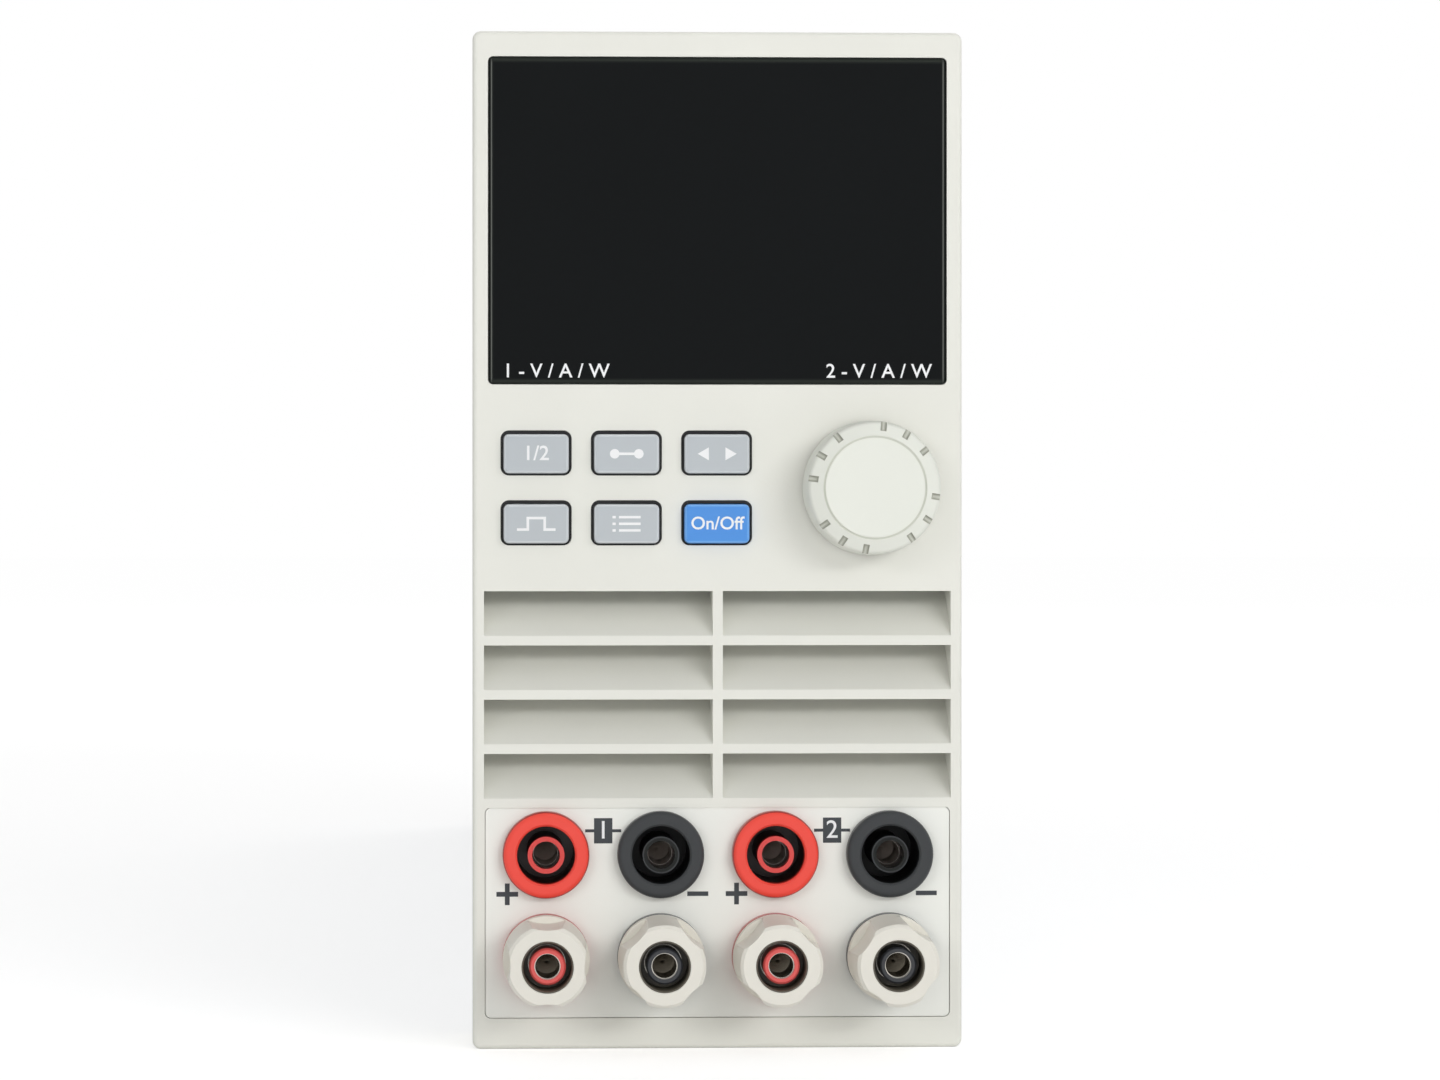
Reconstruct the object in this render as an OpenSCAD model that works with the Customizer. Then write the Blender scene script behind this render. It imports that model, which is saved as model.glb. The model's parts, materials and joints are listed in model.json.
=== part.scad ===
// Plug-in module of a dc electronic load: a tall, narrow front panel on a long sheet-steel chassis.
// Lengths are in millimetres. Each module draws in panel coordinates: X to the right, Y from the
// front face towards the rear, Z up from the base. at_origin() then moves the whole part so that
// the centre of its footprint lies at the origin.

/* [Front panel] */
// Width of the front bezel
bezel_w = 81.5; // [80:0.5:90]
// Depth of the front bezel, front face to rear rim
bezel_d = 22; // [20:0.5:30]
// Thickness of the bezel's side walls
bezel_wall = 1.9; // [1.5:0.1:2.4]
// Thickness of the bezel's front wall
front_wall = 3; // [2.6:0.1:3.4]
// Corner radius of the bezel seen from the front
bezel_corner = 1.4; // [1:0.1:3]
// Radius of the bezel's front edges
bezel_edge = 0.8; // [0.3:0.1:1]
// Clear height above the display window
top_margin = 4.2; // [3.8:0.1:8]

/* [Display] */
// Height of the display window
window_h = 54.5; // [50:0.5:65]
// Bezel width left of and right of the window
window_side = 2.55; // [2.2:0.05:4]
// Thickness of the window pane
window_t = 1.6; // [1:0.1:1.8]
// Depth of the pane's face behind the bezel's face
window_inset = 0.15; // [0.05:0.05:0.4]
// Corner radius of the window
window_corner = 0.9; // [0.5:0.1:2]
// Width of the pane's bevelled rim
window_bevel = 0.5; // [0.2:0.1:0.8]
// Clear height between the upper keys and the window
window_gap = 7.6; // [7.2:0.1:12]
// Distance of the display behind the window from the panel's edges
display_side = 8.75; // [8:0.05:12]

/* [Keys] */
// Width of a key cap
key_w = 10.8; // [9:0.1:11.5]
// Height of a key cap
key_h = 6.5; // [5.5:0.1:7.5]
// Spacing of the key columns
key_pitch_x = 15; // [14.5:0.1:15.4]
// Spacing of the key rows
key_pitch_z = 11.6; // [11:0.1:14]
// Distance of the left key column from the panel's left edge
key_column_x = 10.55; // [10:0.05:11]
// Width of the dark surround between a key and the panel
key_surround = 0.5; // [0.45:0.01:0.6]
// Height of a key in front of the panel
key_proud = 1.6; // [1:0.1:3]
// Travel of a key
key_travel = 1.2; // [0.5:0.1:1.3]
// Clear height between the grille and the lower keys
key_gap = 7.6; // [7:0.1:12]

/* [Knob] */
// Diameter of the knob
knob_d = 22.3; // [18:0.1:24]
// Height of the knob's face in front of the panel
knob_proud = 11.5; // [10:0.1:16]
// Diameter of the knob's plain middle face
knob_face_d = 16.3; // [12:0.1:17]
// Distance of the knob from the panel's right edge
knob_x = 15.55; // [15:0.05:16.2]
// Diameter of the encoder shaft
shaft_d = 6; // [5:0.1:6.2]

/* [Grille] */
// Height of one air slot
slot_h = 7.4; // [6:0.1:9]
// Height of the bar between two slots
slot_bar = 1.6; // [1.2:0.1:2.4]
// Number of slot rows
slot_rows = 4; // [3:1:5]
// Width of the post between the two slot columns
slot_post = 1.66; // [1.2:0.1:3]
// Depth of a louvre blade
louvre_d = 12; // [10:0.5:13]
// Height that a louvre blade climbs from front to rear
louvre_rise = 9; // [7:0.5:9.5]
// Clear height between the terminal panel and the grille
grille_gap = 1.5; // [1.2:0.1:4]

/* [Terminals] */
// Clear height below the terminal panel
terminal_base = 5.1; // [4.8:0.1:8]
// Height of the terminal panel
terminal_h = 35; // [34.5:0.1:40]
// Bezel width left of and right of the terminal panel
terminal_side = 2.05; // [2:0.05:3]
// Distance of the outer terminal columns from the panel's edges
terminal_column_x = 12.175; // [12:0.005:13.5]
// Spacing of the jack row and the post row
terminal_pitch_z = 17; // [16:0.1:18]
// Height of the post row above the base
post_z = 15.3; // [15:0.1:16]
// Diameter of the terminals' flanges
flange_d = 14.4; // [13.5:0.1:14.8]
// Height of a jack's flange in front of the panel
jack_proud = 2.4; // [1.5:0.1:4]
// Diameter of the sockets that take a 4 mm plug
socket_d = 4; // [3.9:0.05:4.1]
// Outer diameter of a jack's ring-shaped recess
recess_d = 9.65; // [8.5:0.05:10]
// Outer diameter of the sleeve in the middle of a jack
sleeve_d = 6.1; // [5.9:0.05:6.4]
// Height of a post's cap in front of the panel when it is screwed down
post_proud = 16.5; // [15.5:0.5:22]
// Diameter of a post's threaded stud
stud_d = 7.8; // [7:0.1:8]
// Depth of the four hollows in the side of a cap
flute_depth = 1.2; // [0.5:0.05:1.4]

/* [Chassis] */
// Depth of the module from the front face to the rear wall
body_d = 500; // [490:5:560]
// Thickness of the steel sheet
sheet = 1.2; // [0.8:0.1:1.5]
// Length of chassis that sits inside the bezel
chassis_insert = 4; // [2:0.5:6]
// Clearance between the chassis and the inside of the bezel
chassis_gap = 0.35; // [0.2:0.05:0.5]

/* [Cooling] */
// Side of the square fans
fan_size = 60; // [58:0.5:60]
// Thickness of the fans
fan_t = 25; // [20:1:32]
// Spacing of a fan's screws
fan_holes = 50; // [48:0.5:50]
// Length of a heat sink
sink_l = 280; // [240:5:300]
// Height of a heat sink
sink_h = 68; // [60:0.5:69]
// Thickness of a heat sink's base plate
sink_base = 6; // [4:0.5:8]
// Number of fins on a heat sink
sink_fins = 11; // [7:1:13]
// Thickness of a heat sink's fins
fin_t = 1.6; // [1:0.1:2]

/* [Rear connector] */
// Height of the connector behind the rear wall
plug_proud = 11; // [8:0.5:16]
// Width of the connector
plug_w = 55; // [45:1:60]
// Height of the connector
plug_h = 10.5; // [9:0.5:12]

/* [Hidden] */
$fn = 64;

// Colours
panel_grey = [0.87, 0.88, 0.84];
panel_white = [0.9, 0.9, 0.88];
pane_black = [0.03, 0.03, 0.035];
key_grey = [0.66, 0.69, 0.72];
key_blue = [0.16, 0.45, 0.84];
rubber_black = [0.05, 0.05, 0.05];
signal_red = [0.86, 0.12, 0.08];
signal_black = [0.08, 0.08, 0.09];
nickel = [0.75, 0.74, 0.7];
copper = [0.8, 0.45, 0.25];
zinc = [0.7, 0.72, 0.73];
aluminium = [0.78, 0.79, 0.8];
board_green = [0.05, 0.3, 0.14];
package_black = [0.1, 0.1, 0.1];

// Clearances
fit = 0.1;           // a fixed piece in its seat
slide_fit = 0.13;    // a key in its surround
shaft_fit = 0.05;    // a shaft in its bush
thread_fit = 0.12;   // a screwed cap on its stud
washer_fit = 0.15;   // a loose washer in its cap
running_gap = 0.8;   // the knob's rim and the panel
fit_gap = 0.6;       // inner pieces and the chassis
skin = 0.01;         // a slice that a hull starts from
cut = 1;             // length that a cutter reaches past a face

// Heights on the front panel, from the base up
terminal_z1 = terminal_base + terminal_h;
slot_pitch = slot_h + slot_bar;
grille_z0 = terminal_z1 + grille_gap;
grille_z1 = grille_z0 + slot_rows * slot_pitch - slot_bar;
key_hole_w = key_w + 2 * key_surround;
key_hole_h = key_h + 2 * key_surround;
key_corner = 0.9;
key_drop = 0.15;     // how far a key sits below the middle of its hole
key_z = [for (row = [0, 1]) grille_z1 + key_gap + key_hole_h / 2 + row * key_pitch_z];
key_x = [for (column = [0:2]) key_column_x + column * key_pitch_x - bezel_w / 2];
knob_place = [bezel_w / 2 - knob_x, 0, (key_z[0] + key_z[1]) / 2];
window_z0 = key_z[1] + key_hole_h / 2 + window_gap;
window_z1 = window_z0 + window_h;
bezel_h = window_z1 + top_margin;
jack_z = post_z + terminal_pitch_z;
terminal_pitch_x = (bezel_w - 2 * terminal_column_x) / 3;
terminal_x = [for (column = [0:3]) (column - 1.5) * terminal_pitch_x];

// Inside of the bezel
inner_w = bezel_w - 2 * bezel_wall;
inner_h = bezel_h - 2 * bezel_wall;
window_w = bezel_w - 2 * window_side;
window_mid = (window_z0 + window_z1) / 2;
ledge = 5.5;         // rim that carries the pane
terminal_w = bezel_w - 2 * terminal_side;
terminal_t = 1;      // thickness of the terminal panel
terminal_inset = 0.2;
terminal_corner = 1;

// Keypad and control board, front to rear
mat_t = 1.2;
mat_rear = front_wall + mat_t;
mat_rim = 1.8;
flange_gap = 0.2;
flange_t = 1;
pill_t = 1;
pill_d = 4;
key_rear = mat_rear + flange_gap + flange_t + pill_t;
board_y = key_rear + key_travel + flange_gap;
board_t = 1.6;
board_z0 = key_z[0] - key_hole_h / 2 - 3.2;
board_z1 = window_z1 - 5.5;
board_w = inner_w - 2.5;
display_w = bezel_w - 2 * display_side;
display_h = window_h - 7.5;
display_front = front_wall + 0.3;
boss_r = 2.2;
boss_x = inner_w / 2 - 3.5;
board_boss_z = [window_z0 - 2.5, board_z1 - 2.5];

// Blade over the grille's top slot
roof_d = board_y - 0.5;
roof_t = 1.3;

// Encoder and knob
encoder_side = 12;
encoder_front = front_wall + 0.4;
bush_d = shaft_d + 1.2;
bush_proud = 2.5;
shaft_tip = knob_proud - 2;
knob_roof = 3.2;     // where the knob's hollow underside ends
knob_round = 1.3;
rim_angle = 65;      // how far the knob's outer edge is rounded
grip_r = 0.5;
grip_lift = 0.05;    // a groove's axis above the rim
grip_start = 0.55;   // share of the rim's width where a groove starts

// Terminals
body_r = 5.9;        // part of a terminal behind the panel
nut_flats = 14;
nut_t = 3;
jack_body = 16;      // depth of a jack behind the front face
jack_lip = 1.6;      // front of the sleeve, before the front face
contact_y = 3.5;     // where a jack's metal contact starts
contact_wall = 0.6;
mouth_gap = 0.3;     // how much wider the sleeve's mouth is than the socket
drill_point = 0.8;   // cone at the end of a drilled socket
post_collar = 2;
post_body = 13;
post_cap_rear = post_collar + 0.4;
post_shoulder = post_proud - 7.1;
post_mouth = post_proud - 2.1;
post_socket = post_shoulder - 2.8;
post_tip_d = 6;
cap_bore = 8.5;
cap_rim = 2.2;       // plain rim at the rear of a cap
cap_taper = 0.45;
washer_t = 1.05;
washer_d = flange_d - 3.2;
cap_turn = [45, 0, 0, 10];   // how far each cap is screwed round at rest
wire_hole_d = 2.8;
tail_d = 4;
tail_end = 27;
tail_flats = 7;

// Chassis
chassis_w = bezel_w - 2 * (bezel_wall + chassis_gap);
chassis_h = bezel_h - bezel_wall - chassis_gap - 0.15;
chassis_y = bezel_d - chassis_insert;
inner_x = chassis_w / 2 - sheet;
lid_z = chassis_h - sheet;
lid_flange = 10;
plate_flange = 14;
rear_y = body_d - sheet;
bend_r = 1.6;
screw_r = 1.4;
screw_hole_r = 1.55;
screw_head_r = 2.8;
screw_head_h = 1.3;
screw_l = 5;
small_head_r = 2.3;  // screws in the bezel's bosses
head_gap = 0.4;      // clear space round a screw head
bezel_boss_r = 2.6;
bezel_boss_x = inner_x - small_head_r - head_gap;
bezel_boss_z = [small_head_r + head_gap + 2.3, lid_z - small_head_r - head_gap];
cover_y = chassis_y + sheet + screw_head_h + head_gap;   // where the cover's flanges start

// Fans on the rear wall
fan_z = [for (level = [0.5, 1.5]) lid_z - 1.4 - (2 - level) * (fan_size + 0.5)];
fan_y = rear_y - fan_t;
fan_bore = fan_size - 3;
fan_corner = 3;
spider_t = 3;
hub_d = 27;
hub_l = 17;
blade_count = 7;
blade_t = 1.2;
blade_pitch = 38;
tip_gap = 1;
pin_d = 3;
pin_l = hub_l - 1;
guard_wire = 0.8;
guard_rings = [0.2, 0.42, 0.64, 0.86];
fan_screw_r = 2;
fan_head_r = 3.6;
fan_head_h = 1.8;
fan_screw_l = 18;

// Power stage
board_x = 6 - inner_x;       // left face of the power board
power_y0 = chassis_y + 12;
power_y1 = fan_y - 35;
power_z0 = 8;
power_z1 = lid_z - lid_flange - 6;
board_face = board_x + board_t;
sink_x0 = board_face + 12.2;
sink_x1 = chassis_w / 2 - screw_l - fit_gap;
sink_y = chassis_y + 52;
sink_gap = (lid_z - sheet - 2 * sink_h - fit_gap) / 3;
spacer_h = 20;
spacer_l = 10;
spacer_comb = 6;             // how far a spacer reaches between the fins
spacer_y = [sink_y + 20, sink_y + sink_l - 30];
sink_z = [for (level = [0, 1]) sheet + sink_gap + level * (sink_h + sink_gap)];
fin_z = [for (k = [0:sink_fins - 1]) k * (sink_h - fin_t) / (sink_fins - 1)];
package = [5, 15.9, 20.8];   // a power transistor's thickness, width and height
package_edge = 35;           // first transistor's place from the end of the sink
package_y = [for (k = [0:3]) sink_y + package_edge + k * (sink_l - 2 * package_edge) / 3];
lead_pitch = 5.45;
lead_drop = 4;
standoff_y = [power_y0 + 32, (power_y0 + power_y1) / 2, power_y1 - 8];
standoff_z = [power_z0 + 6, power_z1 - 6];
standoff_flats = 6;
capacitor_r = 11;
capacitor_l = 34;
capacitor_gap = 6;
shunt = [9, 18, 8];          // a shunt's height, length and width
shunt_t = 1.2;
shunt_y = sink_y - shunt[1] - 4;

// Wiring
strap_w = 14;
strap_t = 1.5;
strap_y = chassis_y + sheet + 1.3;
bar_h = 7;
bar_pitch = 8.5;
bar_z0 = post_z - 5;
header = [5, 7, 22];
header_z = window_mid - 8;
header_y = power_y0 + 16;    // header on the power board
cable_t = 1;
cable_bend = 2;
cable_x = board_face + header[1] + cable_bend + 0.7;
plug_z = 16;
pin_pitch = 2.54;
pin_columns = 16;

module at_origin() translate([0, (post_proud - body_d - plug_proud) / 2, 0]) children();

// Block between two corners
module block(low, high) translate(low) cube(high - low);

module outline(w, h, r) {
    square([w, h - 2 * r], center = true);
    square([w - 2 * r, h], center = true);
    for (x = [-1, 1], y = [-1, 1]) translate([x * (w / 2 - r), y * (h / 2 - r)]) circle(r);
}

// Extrudes an X-Z outline from Y = 0 towards the rear
module deep(l) rotate([90, 0, 0]) translate([0, 0, -l]) linear_extrude(l) children();

// Extrudes a Y-Z outline along X, about X = 0
module wide(l) rotate([90, 0, 90]) translate([0, 0, -l / 2]) linear_extrude(l) children();

module plate(w, h, r, t) deep(t) outline(w, h, r);

// Solid of revolution about Y; its points are [radius, y]
module turned(points) rotate([-90, 0, 0]) rotate_extrude() polygon(points);

module rod(r, y0, y1) translate([0, y0, 0]) rotate([-90, 0, 0]) cylinder(r = r, h = y1 - y0);

// Rounded corner of a turned profile, about [cx, cy]
function corner(cx, cy, r, a0, a1, n = 5) =
    [for (k = [0:n]) let (a = a0 + (a1 - a0) * k / n) [cx + r * cos(a), cy + r * sin(a)]];

module hex_nut(flats, bore, y0, t) difference() {
    translate([0, y0, 0]) rotate([-90, 0, 0]) cylinder(d = flats / cos(30), h = t, $fn = 6);
    rod(bore, y0 - cut, y0 + t + cut);
}

// Screw along Y: the head stands before Y = 0 and the shank runs to Y = l
module screw(head_r, head_h, r, l) {
    crown = head_h * 0.4;
    difference() {
        turned([[0, -head_h], [head_r - crown, -head_h], [head_r, crown - head_h], [head_r, 0],
            [r, 0], [r, l], [0, l]]);
        for (turn = [0, 90]) rotate([0, turn, 0])
            block([-head_r * 0.55, -head_h - cut, -0.3], [head_r * 0.55, -head_h * 0.45, 0.3]);
    }
}

// Front panel

module bezel_blank() {
    steps = 4;
    hull() for (k = [0:steps]) {
        inset = bezel_edge * (1 - sin(90 * k / steps));
        y = bezel_edge * (1 - cos(90 * k / steps));
        translate([0, y, bezel_h / 2])
            plate(bezel_w - 2 * inset, bezel_h - 2 * inset, bezel_corner - inset, bezel_d - y, $fn = 32);
    }
}

module louvres() {
    span = bezel_w - bezel_wall;
    for (row = [0:slot_rows - 1]) let (z = grille_z0 + row * slot_pitch)
        wide(span) polygon([[0, z - slot_bar], [0, z], [louvre_d, z + louvre_rise],
            [louvre_d, z + louvre_rise - slot_bar]]);
    roof_rise = roof_d * louvre_rise / louvre_d;
    wide(span) polygon([[0, grille_z1], [0, grille_z1 + roof_t], [roof_d, grille_z1 + roof_rise + roof_t],
        [roof_d, grille_z1 + roof_rise]]);
    block([-slot_post / 2, 0, grille_z0 - slot_bar],
        [slot_post / 2, louvre_d, grille_z1 + slot_bar]);
}

module front_bezel() color(panel_grey) difference() {
    union() {
        difference() {
            bezel_blank();
            block([-inner_w / 2, front_wall, bezel_wall],
                [inner_w / 2, bezel_d + cut, bezel_wall + inner_h]);
            block([-inner_w / 2, chassis_y, -cut], [inner_w / 2, bezel_d + cut, bezel_wall + cut]);
            translate([0, -cut, window_mid])
                plate(window_w, window_h, window_corner, window_inset + window_t + cut);
            translate([0, -cut, window_mid])
                plate(window_w - 2 * ledge, window_h - ledge, window_corner, front_wall + 2 * cut);
            for (x = key_x, z = key_z) translate([x, -cut, z])
                plate(key_hole_w, key_hole_h, key_corner + key_surround, front_wall + 2 * cut);
            translate(knob_place) rod(bush_d / 2 + 0.3, -cut, front_wall + cut);
            block([-inner_w / 2, -cut, grille_z0], [inner_w / 2, front_wall + cut, grille_z1]);
            translate([0, -cut, terminal_base + terminal_h / 2])
                plate(terminal_w, terminal_h, terminal_corner, terminal_inset + terminal_t + cut);
        }
        louvres();
        for (x = [-boss_x, boss_x], z = board_boss_z) translate([x, 0, z])
            rod(boss_r, window_inset + window_t, board_y);
        for (x = [-bezel_boss_x, bezel_boss_x], z = bezel_boss_z) translate([x, 0, z])
            rod(bezel_boss_r, window_inset + window_t, chassis_y);
    }
    for (x = terminal_x, z = [post_z, jack_z]) translate([x, 0, z])
        rod(body_r + fit, -cut, front_wall + cut);
    for (x = [-boss_x, boss_x], z = board_boss_z) translate([x, 0, z])
        rod(screw_r, board_y - screw_l + 0.5, board_y + cut);
    for (x = [-bezel_boss_x, bezel_boss_x], z = bezel_boss_z) translate([x, 0, z])
        rod(screw_hole_r, chassis_y - screw_l, chassis_y + cut);
}

module terminal_panel() color(panel_white) difference() {
    translate([0, terminal_inset, terminal_base + terminal_h / 2])
        plate(terminal_w - 2 * fit, terminal_h - 2 * fit, terminal_corner - fit, terminal_t);
    for (x = terminal_x, z = [post_z, jack_z]) translate([x, 0, z])
        rod(body_r + fit, -cut, front_wall + cut);
}

module display_window() color(pane_black) translate([0, window_inset, window_mid]) hull() {
    plate(window_w - 2 * (fit + window_bevel), window_h - 2 * (fit + window_bevel),
        window_corner - window_bevel + fit, skin, $fn = 32);
    translate([0, window_bevel * 0.6, 0])
        plate(window_w - 2 * fit, window_h - 2 * fit, window_corner - fit,
            window_t - window_bevel * 0.6, $fn = 32);
}

module display_module() color([0.2, 0.21, 0.22]) difference() {
    lip = 2.5;
    translate([0, display_front, window_mid])
        plate(display_w, display_h, 1, board_y - display_front);
    translate([0, display_front - cut, window_mid])
        plate(display_w - 2 * lip, display_h - 2 * lip, 0.5, 0.4 + cut);
}

module keypad_mat() color(rubber_black) difference() {
    collar = key_surround - slide_fit - 0.07;
    x0 = key_x[0] - key_hole_w / 2 - mat_rim;
    x1 = key_x[2] + key_hole_w / 2 + mat_rim;
    z0 = key_z[0] - key_hole_h / 2 - mat_rim;
    z1 = key_z[1] + key_hole_h / 2 + mat_rim;
    union() {
        translate([(x0 + x1) / 2, front_wall, (z0 + z1) / 2]) plate(x1 - x0, z1 - z0, 1, mat_t);
        for (x = key_x, z = key_z) translate([x, 0.1, z])
            plate(key_w + 2 * (slide_fit + collar), key_h + 2 * (slide_fit + collar),
                key_corner + slide_fit + collar, front_wall);
    }
    for (x = key_x, z = key_z) translate([x, -cut, z - key_drop])
        plate(key_w + 2 * slide_fit, key_h + 2 * slide_fit, key_corner + slide_fit,
            mat_rear + 2 * cut);
}

module key(column, row, shade) color(shade) translate([key_x[column], 0, key_z[row] - key_drop]) {
    round = 0.45;
    flange_y = mat_rear + flange_gap;
    hull() {
        translate([0, -key_proud, 0])
            plate(key_w - 2 * round, key_h - 2 * round, key_corner - round, skin, $fn = 32);
        translate([0, round * 0.3 - key_proud, 0])
            plate(key_w - round * 0.6, key_h - round * 0.6, key_corner - round * 0.3, skin, $fn = 32);
        translate([0, round - key_proud, 0])
            plate(key_w, key_h, key_corner, flange_y + key_proud - round, $fn = 32);
    }
    translate([0, flange_y, 0]) plate(key_w + 1.6, key_h + 1.6, key_corner, flange_t);
    rod(pill_d / 2, flange_y, key_rear);
}

module key_channel() key(0, 1, key_grey);
module key_short() key(1, 1, key_grey);
module key_cursor() key(2, 1, key_grey);
module key_pulse() key(0, 0, key_grey);
module key_mode() key(1, 0, key_grey);
module key_input() key(2, 0, key_blue);

module control_board() color(board_green) difference() {
    block([-board_w / 2, board_y, board_z0], [board_w / 2, board_y + board_t, board_z1]);
    for (x = [-boss_x, boss_x], z = board_boss_z) translate([x, 0, z])
        rod(screw_hole_r, board_y - cut, board_y + board_t + cut);
}

module encoder_body() color(zinc) translate(knob_place) difference() {
    union() {
        translate([0, encoder_front, 0])
            plate(encoder_side, encoder_side, 0.8, board_y - encoder_front);
        rod(bush_d / 2, -bush_proud, encoder_front + fit);
    }
    rod(shaft_d / 2 + shaft_fit, -bush_proud - cut, encoder_front + 1.5);
}

module encoder_shaft() color(nickel) translate(knob_place)
    rod(shaft_d / 2, -shaft_tip, encoder_front + 1.2);

module control_knob() color(panel_grey) translate(knob_place) difference() {
    r = knob_d / 2;
    face_r = knob_face_d / 2;
    line = 0.4;
    round_at = [r - knob_round - 0.2, 2.2 - knob_proud];
    rim_in = [face_r + line, 0.1 - knob_proud];
    rim_out = round_at + knob_round * [cos(rim_angle), -sin(rim_angle)];
    slope = atan2(rim_out[1] - rim_in[1], rim_out[0] - rim_in[0]);
    grip = rim_in + grip_start * (rim_out - rim_in) + grip_lift * [sin(slope), -cos(slope)];
    turned(concat(
        [[shaft_d / 2 + shaft_fit, -shaft_tip - fit], [shaft_d / 2 + shaft_fit, -knob_roof],
            [r - 2.2, -knob_roof], [r - 2.2, -running_gap], [r, -running_gap]],
        corner(round_at[0], round_at[1], knob_round, 0, -rim_angle),
        [rim_in, [face_r + line, 0.3 - knob_proud], [face_r, 0.3 - knob_proud],
            [face_r, -knob_proud], [0, -knob_proud], [0, -shaft_tip - fit]]));
    for (group = [0:3], k = [-1:1]) rotate([0, -(59 + 90 * group + 22.7 * k), 0])
        translate([grip[0], grip[1], 0]) rotate([0, 0, slope]) rotate([0, 90, 0])
            cylinder(r = grip_r, h = 3, $fn = 24);
}

// Terminals

module jack_shroud(column) translate([terminal_x[column], 0, jack_z]) {
    edge = 0.9;
    flange_r = flange_d / 2;
    contact_r = socket_d / 2 + contact_wall + fit / 2;
    turned(concat(
        [[tail_d / 2 + fit, jack_body], [tail_d / 2 + fit, jack_body - 1.5],
            [contact_r, jack_body - 1.5], [contact_r, contact_y - fit],
            [socket_d / 2 + mouth_gap, contact_y - fit], [socket_d / 2 + mouth_gap, -jack_lip],
            [sleeve_d / 2, -jack_lip], [sleeve_d / 2, jack_body - 4],
            [recess_d / 2, jack_body - 4], [recess_d / 2, 0.3 - jack_proud],
            [recess_d / 2 + 0.3, -jack_proud]],
        corner(flange_r - edge, edge - jack_proud, edge, -90, 0),
        [[flange_r, terminal_inset], [body_r, terminal_inset], [body_r, jack_body]]));
}

module jack_shrouds_red() color(signal_red) for (column = [0, 2]) jack_shroud(column);
module jack_shrouds_black() color(signal_black) for (column = [1, 3]) jack_shroud(column);

module jack_contacts() color(nickel) for (x = terminal_x) translate([x, 0, jack_z]) {
    outer = socket_d / 2 + contact_wall;
    floor_y = jack_body - 1.5;
    turned([[socket_d / 2, contact_y], [outer, contact_y], [outer, floor_y],
        [tail_d / 2, floor_y], [tail_d / 2, tail_end], [0, tail_end], [0, floor_y - 1 + drill_point],
        [socket_d / 2, floor_y - 1]]);
}

module terminal_nuts() color(zinc) for (x = terminal_x, z = [post_z, jack_z])
    translate([x, 0, z]) hex_nut(nut_flats, body_r + fit, front_wall, nut_t);

module post_insulator(column) translate([terminal_x[column], 0, post_z]) {
    edge = 0.4;
    stud_r = stud_d / 2 + fit;
    turned(concat([[stud_r, post_body], [stud_r, -post_collar]],
        corner(flange_d / 2 - edge, edge - post_collar, edge, -90, 0, 3),
        [[flange_d / 2, terminal_inset], [body_r, terminal_inset], [body_r, post_body]]));
    lip = socket_d / 2 + 0.15;
    bore = socket_d / 2 + 0.5;
    tip_y = -post_mouth - 0.8;
    turned([[bore, -post_shoulder], [bore, -post_mouth - 0.05], [lip, -post_mouth - 0.05],
        [lip, tip_y], [post_tip_d / 2 - 0.3, tip_y], [post_tip_d / 2, tip_y + 0.3],
        [post_tip_d / 2, -post_shoulder]]);
}

module post_insulators_red() color(signal_red) for (column = [0, 2]) post_insulator(column);
module post_insulators_black() color(signal_black) for (column = [1, 3]) post_insulator(column);

module post_studs() color(nickel) for (x = terminal_x) translate([x, 0, post_z]) difference() {
    sleeve_r = socket_d / 2 + 0.45;
    turned([[socket_d / 2, -post_mouth], [sleeve_r, -post_mouth], [sleeve_r, -post_shoulder],
        [stud_d / 2, -post_shoulder], [stud_d / 2, post_body], [tail_d / 2, post_body],
        [tail_d / 2, tail_end], [0, tail_end], [0, drill_point - post_socket],
        [socket_d / 2, -post_socket]]);
    translate([0, -post_collar - wire_hole_d / 2 - 0.6, 0]) rotate([0, 90, 0])
        cylinder(d = wire_hole_d, h = stud_d + 2 * cut, center = true);
}

module post_washer(column) color(nickel) translate([terminal_x[column], 0, post_z]) {
    rear = -post_collar - 0.15;
    inner = stud_d / 2 + thread_fit;
    turned([[inner, rear], [washer_d / 2, rear], [washer_d / 2, rear - washer_t],
        [inner, rear - washer_t]]);
}

module post_cap(column) color(panel_grey) translate([terminal_x[column], 0, post_z])
    rotate([0, -cap_turn[column], 0]) fluted_cap();

module fluted_cap() difference() {
    r = flange_d / 2;
    edge = 0.5;
    thread_r = stud_d / 2 + thread_fit;
    pocket_r = washer_d / 2 + washer_fit;
    pocket_y = -post_collar - 0.15 - washer_t - washer_fit;
    flute_r = 9;
    turned([[r, -post_cap_rear], [r, -post_cap_rear - cap_rim],
        [r - cap_taper, edge - post_proud], [r - cap_taper - edge, -post_proud],
        [cap_bore / 2, -post_proud], [cap_bore / 2, -post_shoulder + 0.4],
        [thread_r, -post_shoulder + 0.4], [thread_r, pocket_y], [pocket_r, pocket_y],
        [pocket_r, -post_cap_rear]]);
    for (k = [0:3]) rotate([0, 45 + 90 * k, 0])
        translate([r - flute_depth + flute_r, 0, 0])
            rod(flute_r, -post_proud - cut, -post_cap_rear - cap_rim);
}

module post_washer_1() post_washer(0);
module post_washer_2() post_washer(1);
module post_washer_3() post_washer(2);
module post_washer_4() post_washer(3);
module post_cap_1() post_cap(0);
module post_cap_2() post_cap(1);
module post_cap_3() post_cap(2);
module post_cap_4() post_cap(3);

module tail_nuts() color(zinc) for (x = terminal_x, z = [post_z, jack_z])
    translate([x, 0, z]) hex_nut(tail_flats, tail_d / 2 + fit, strap_y + strap_t, 3);

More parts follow.
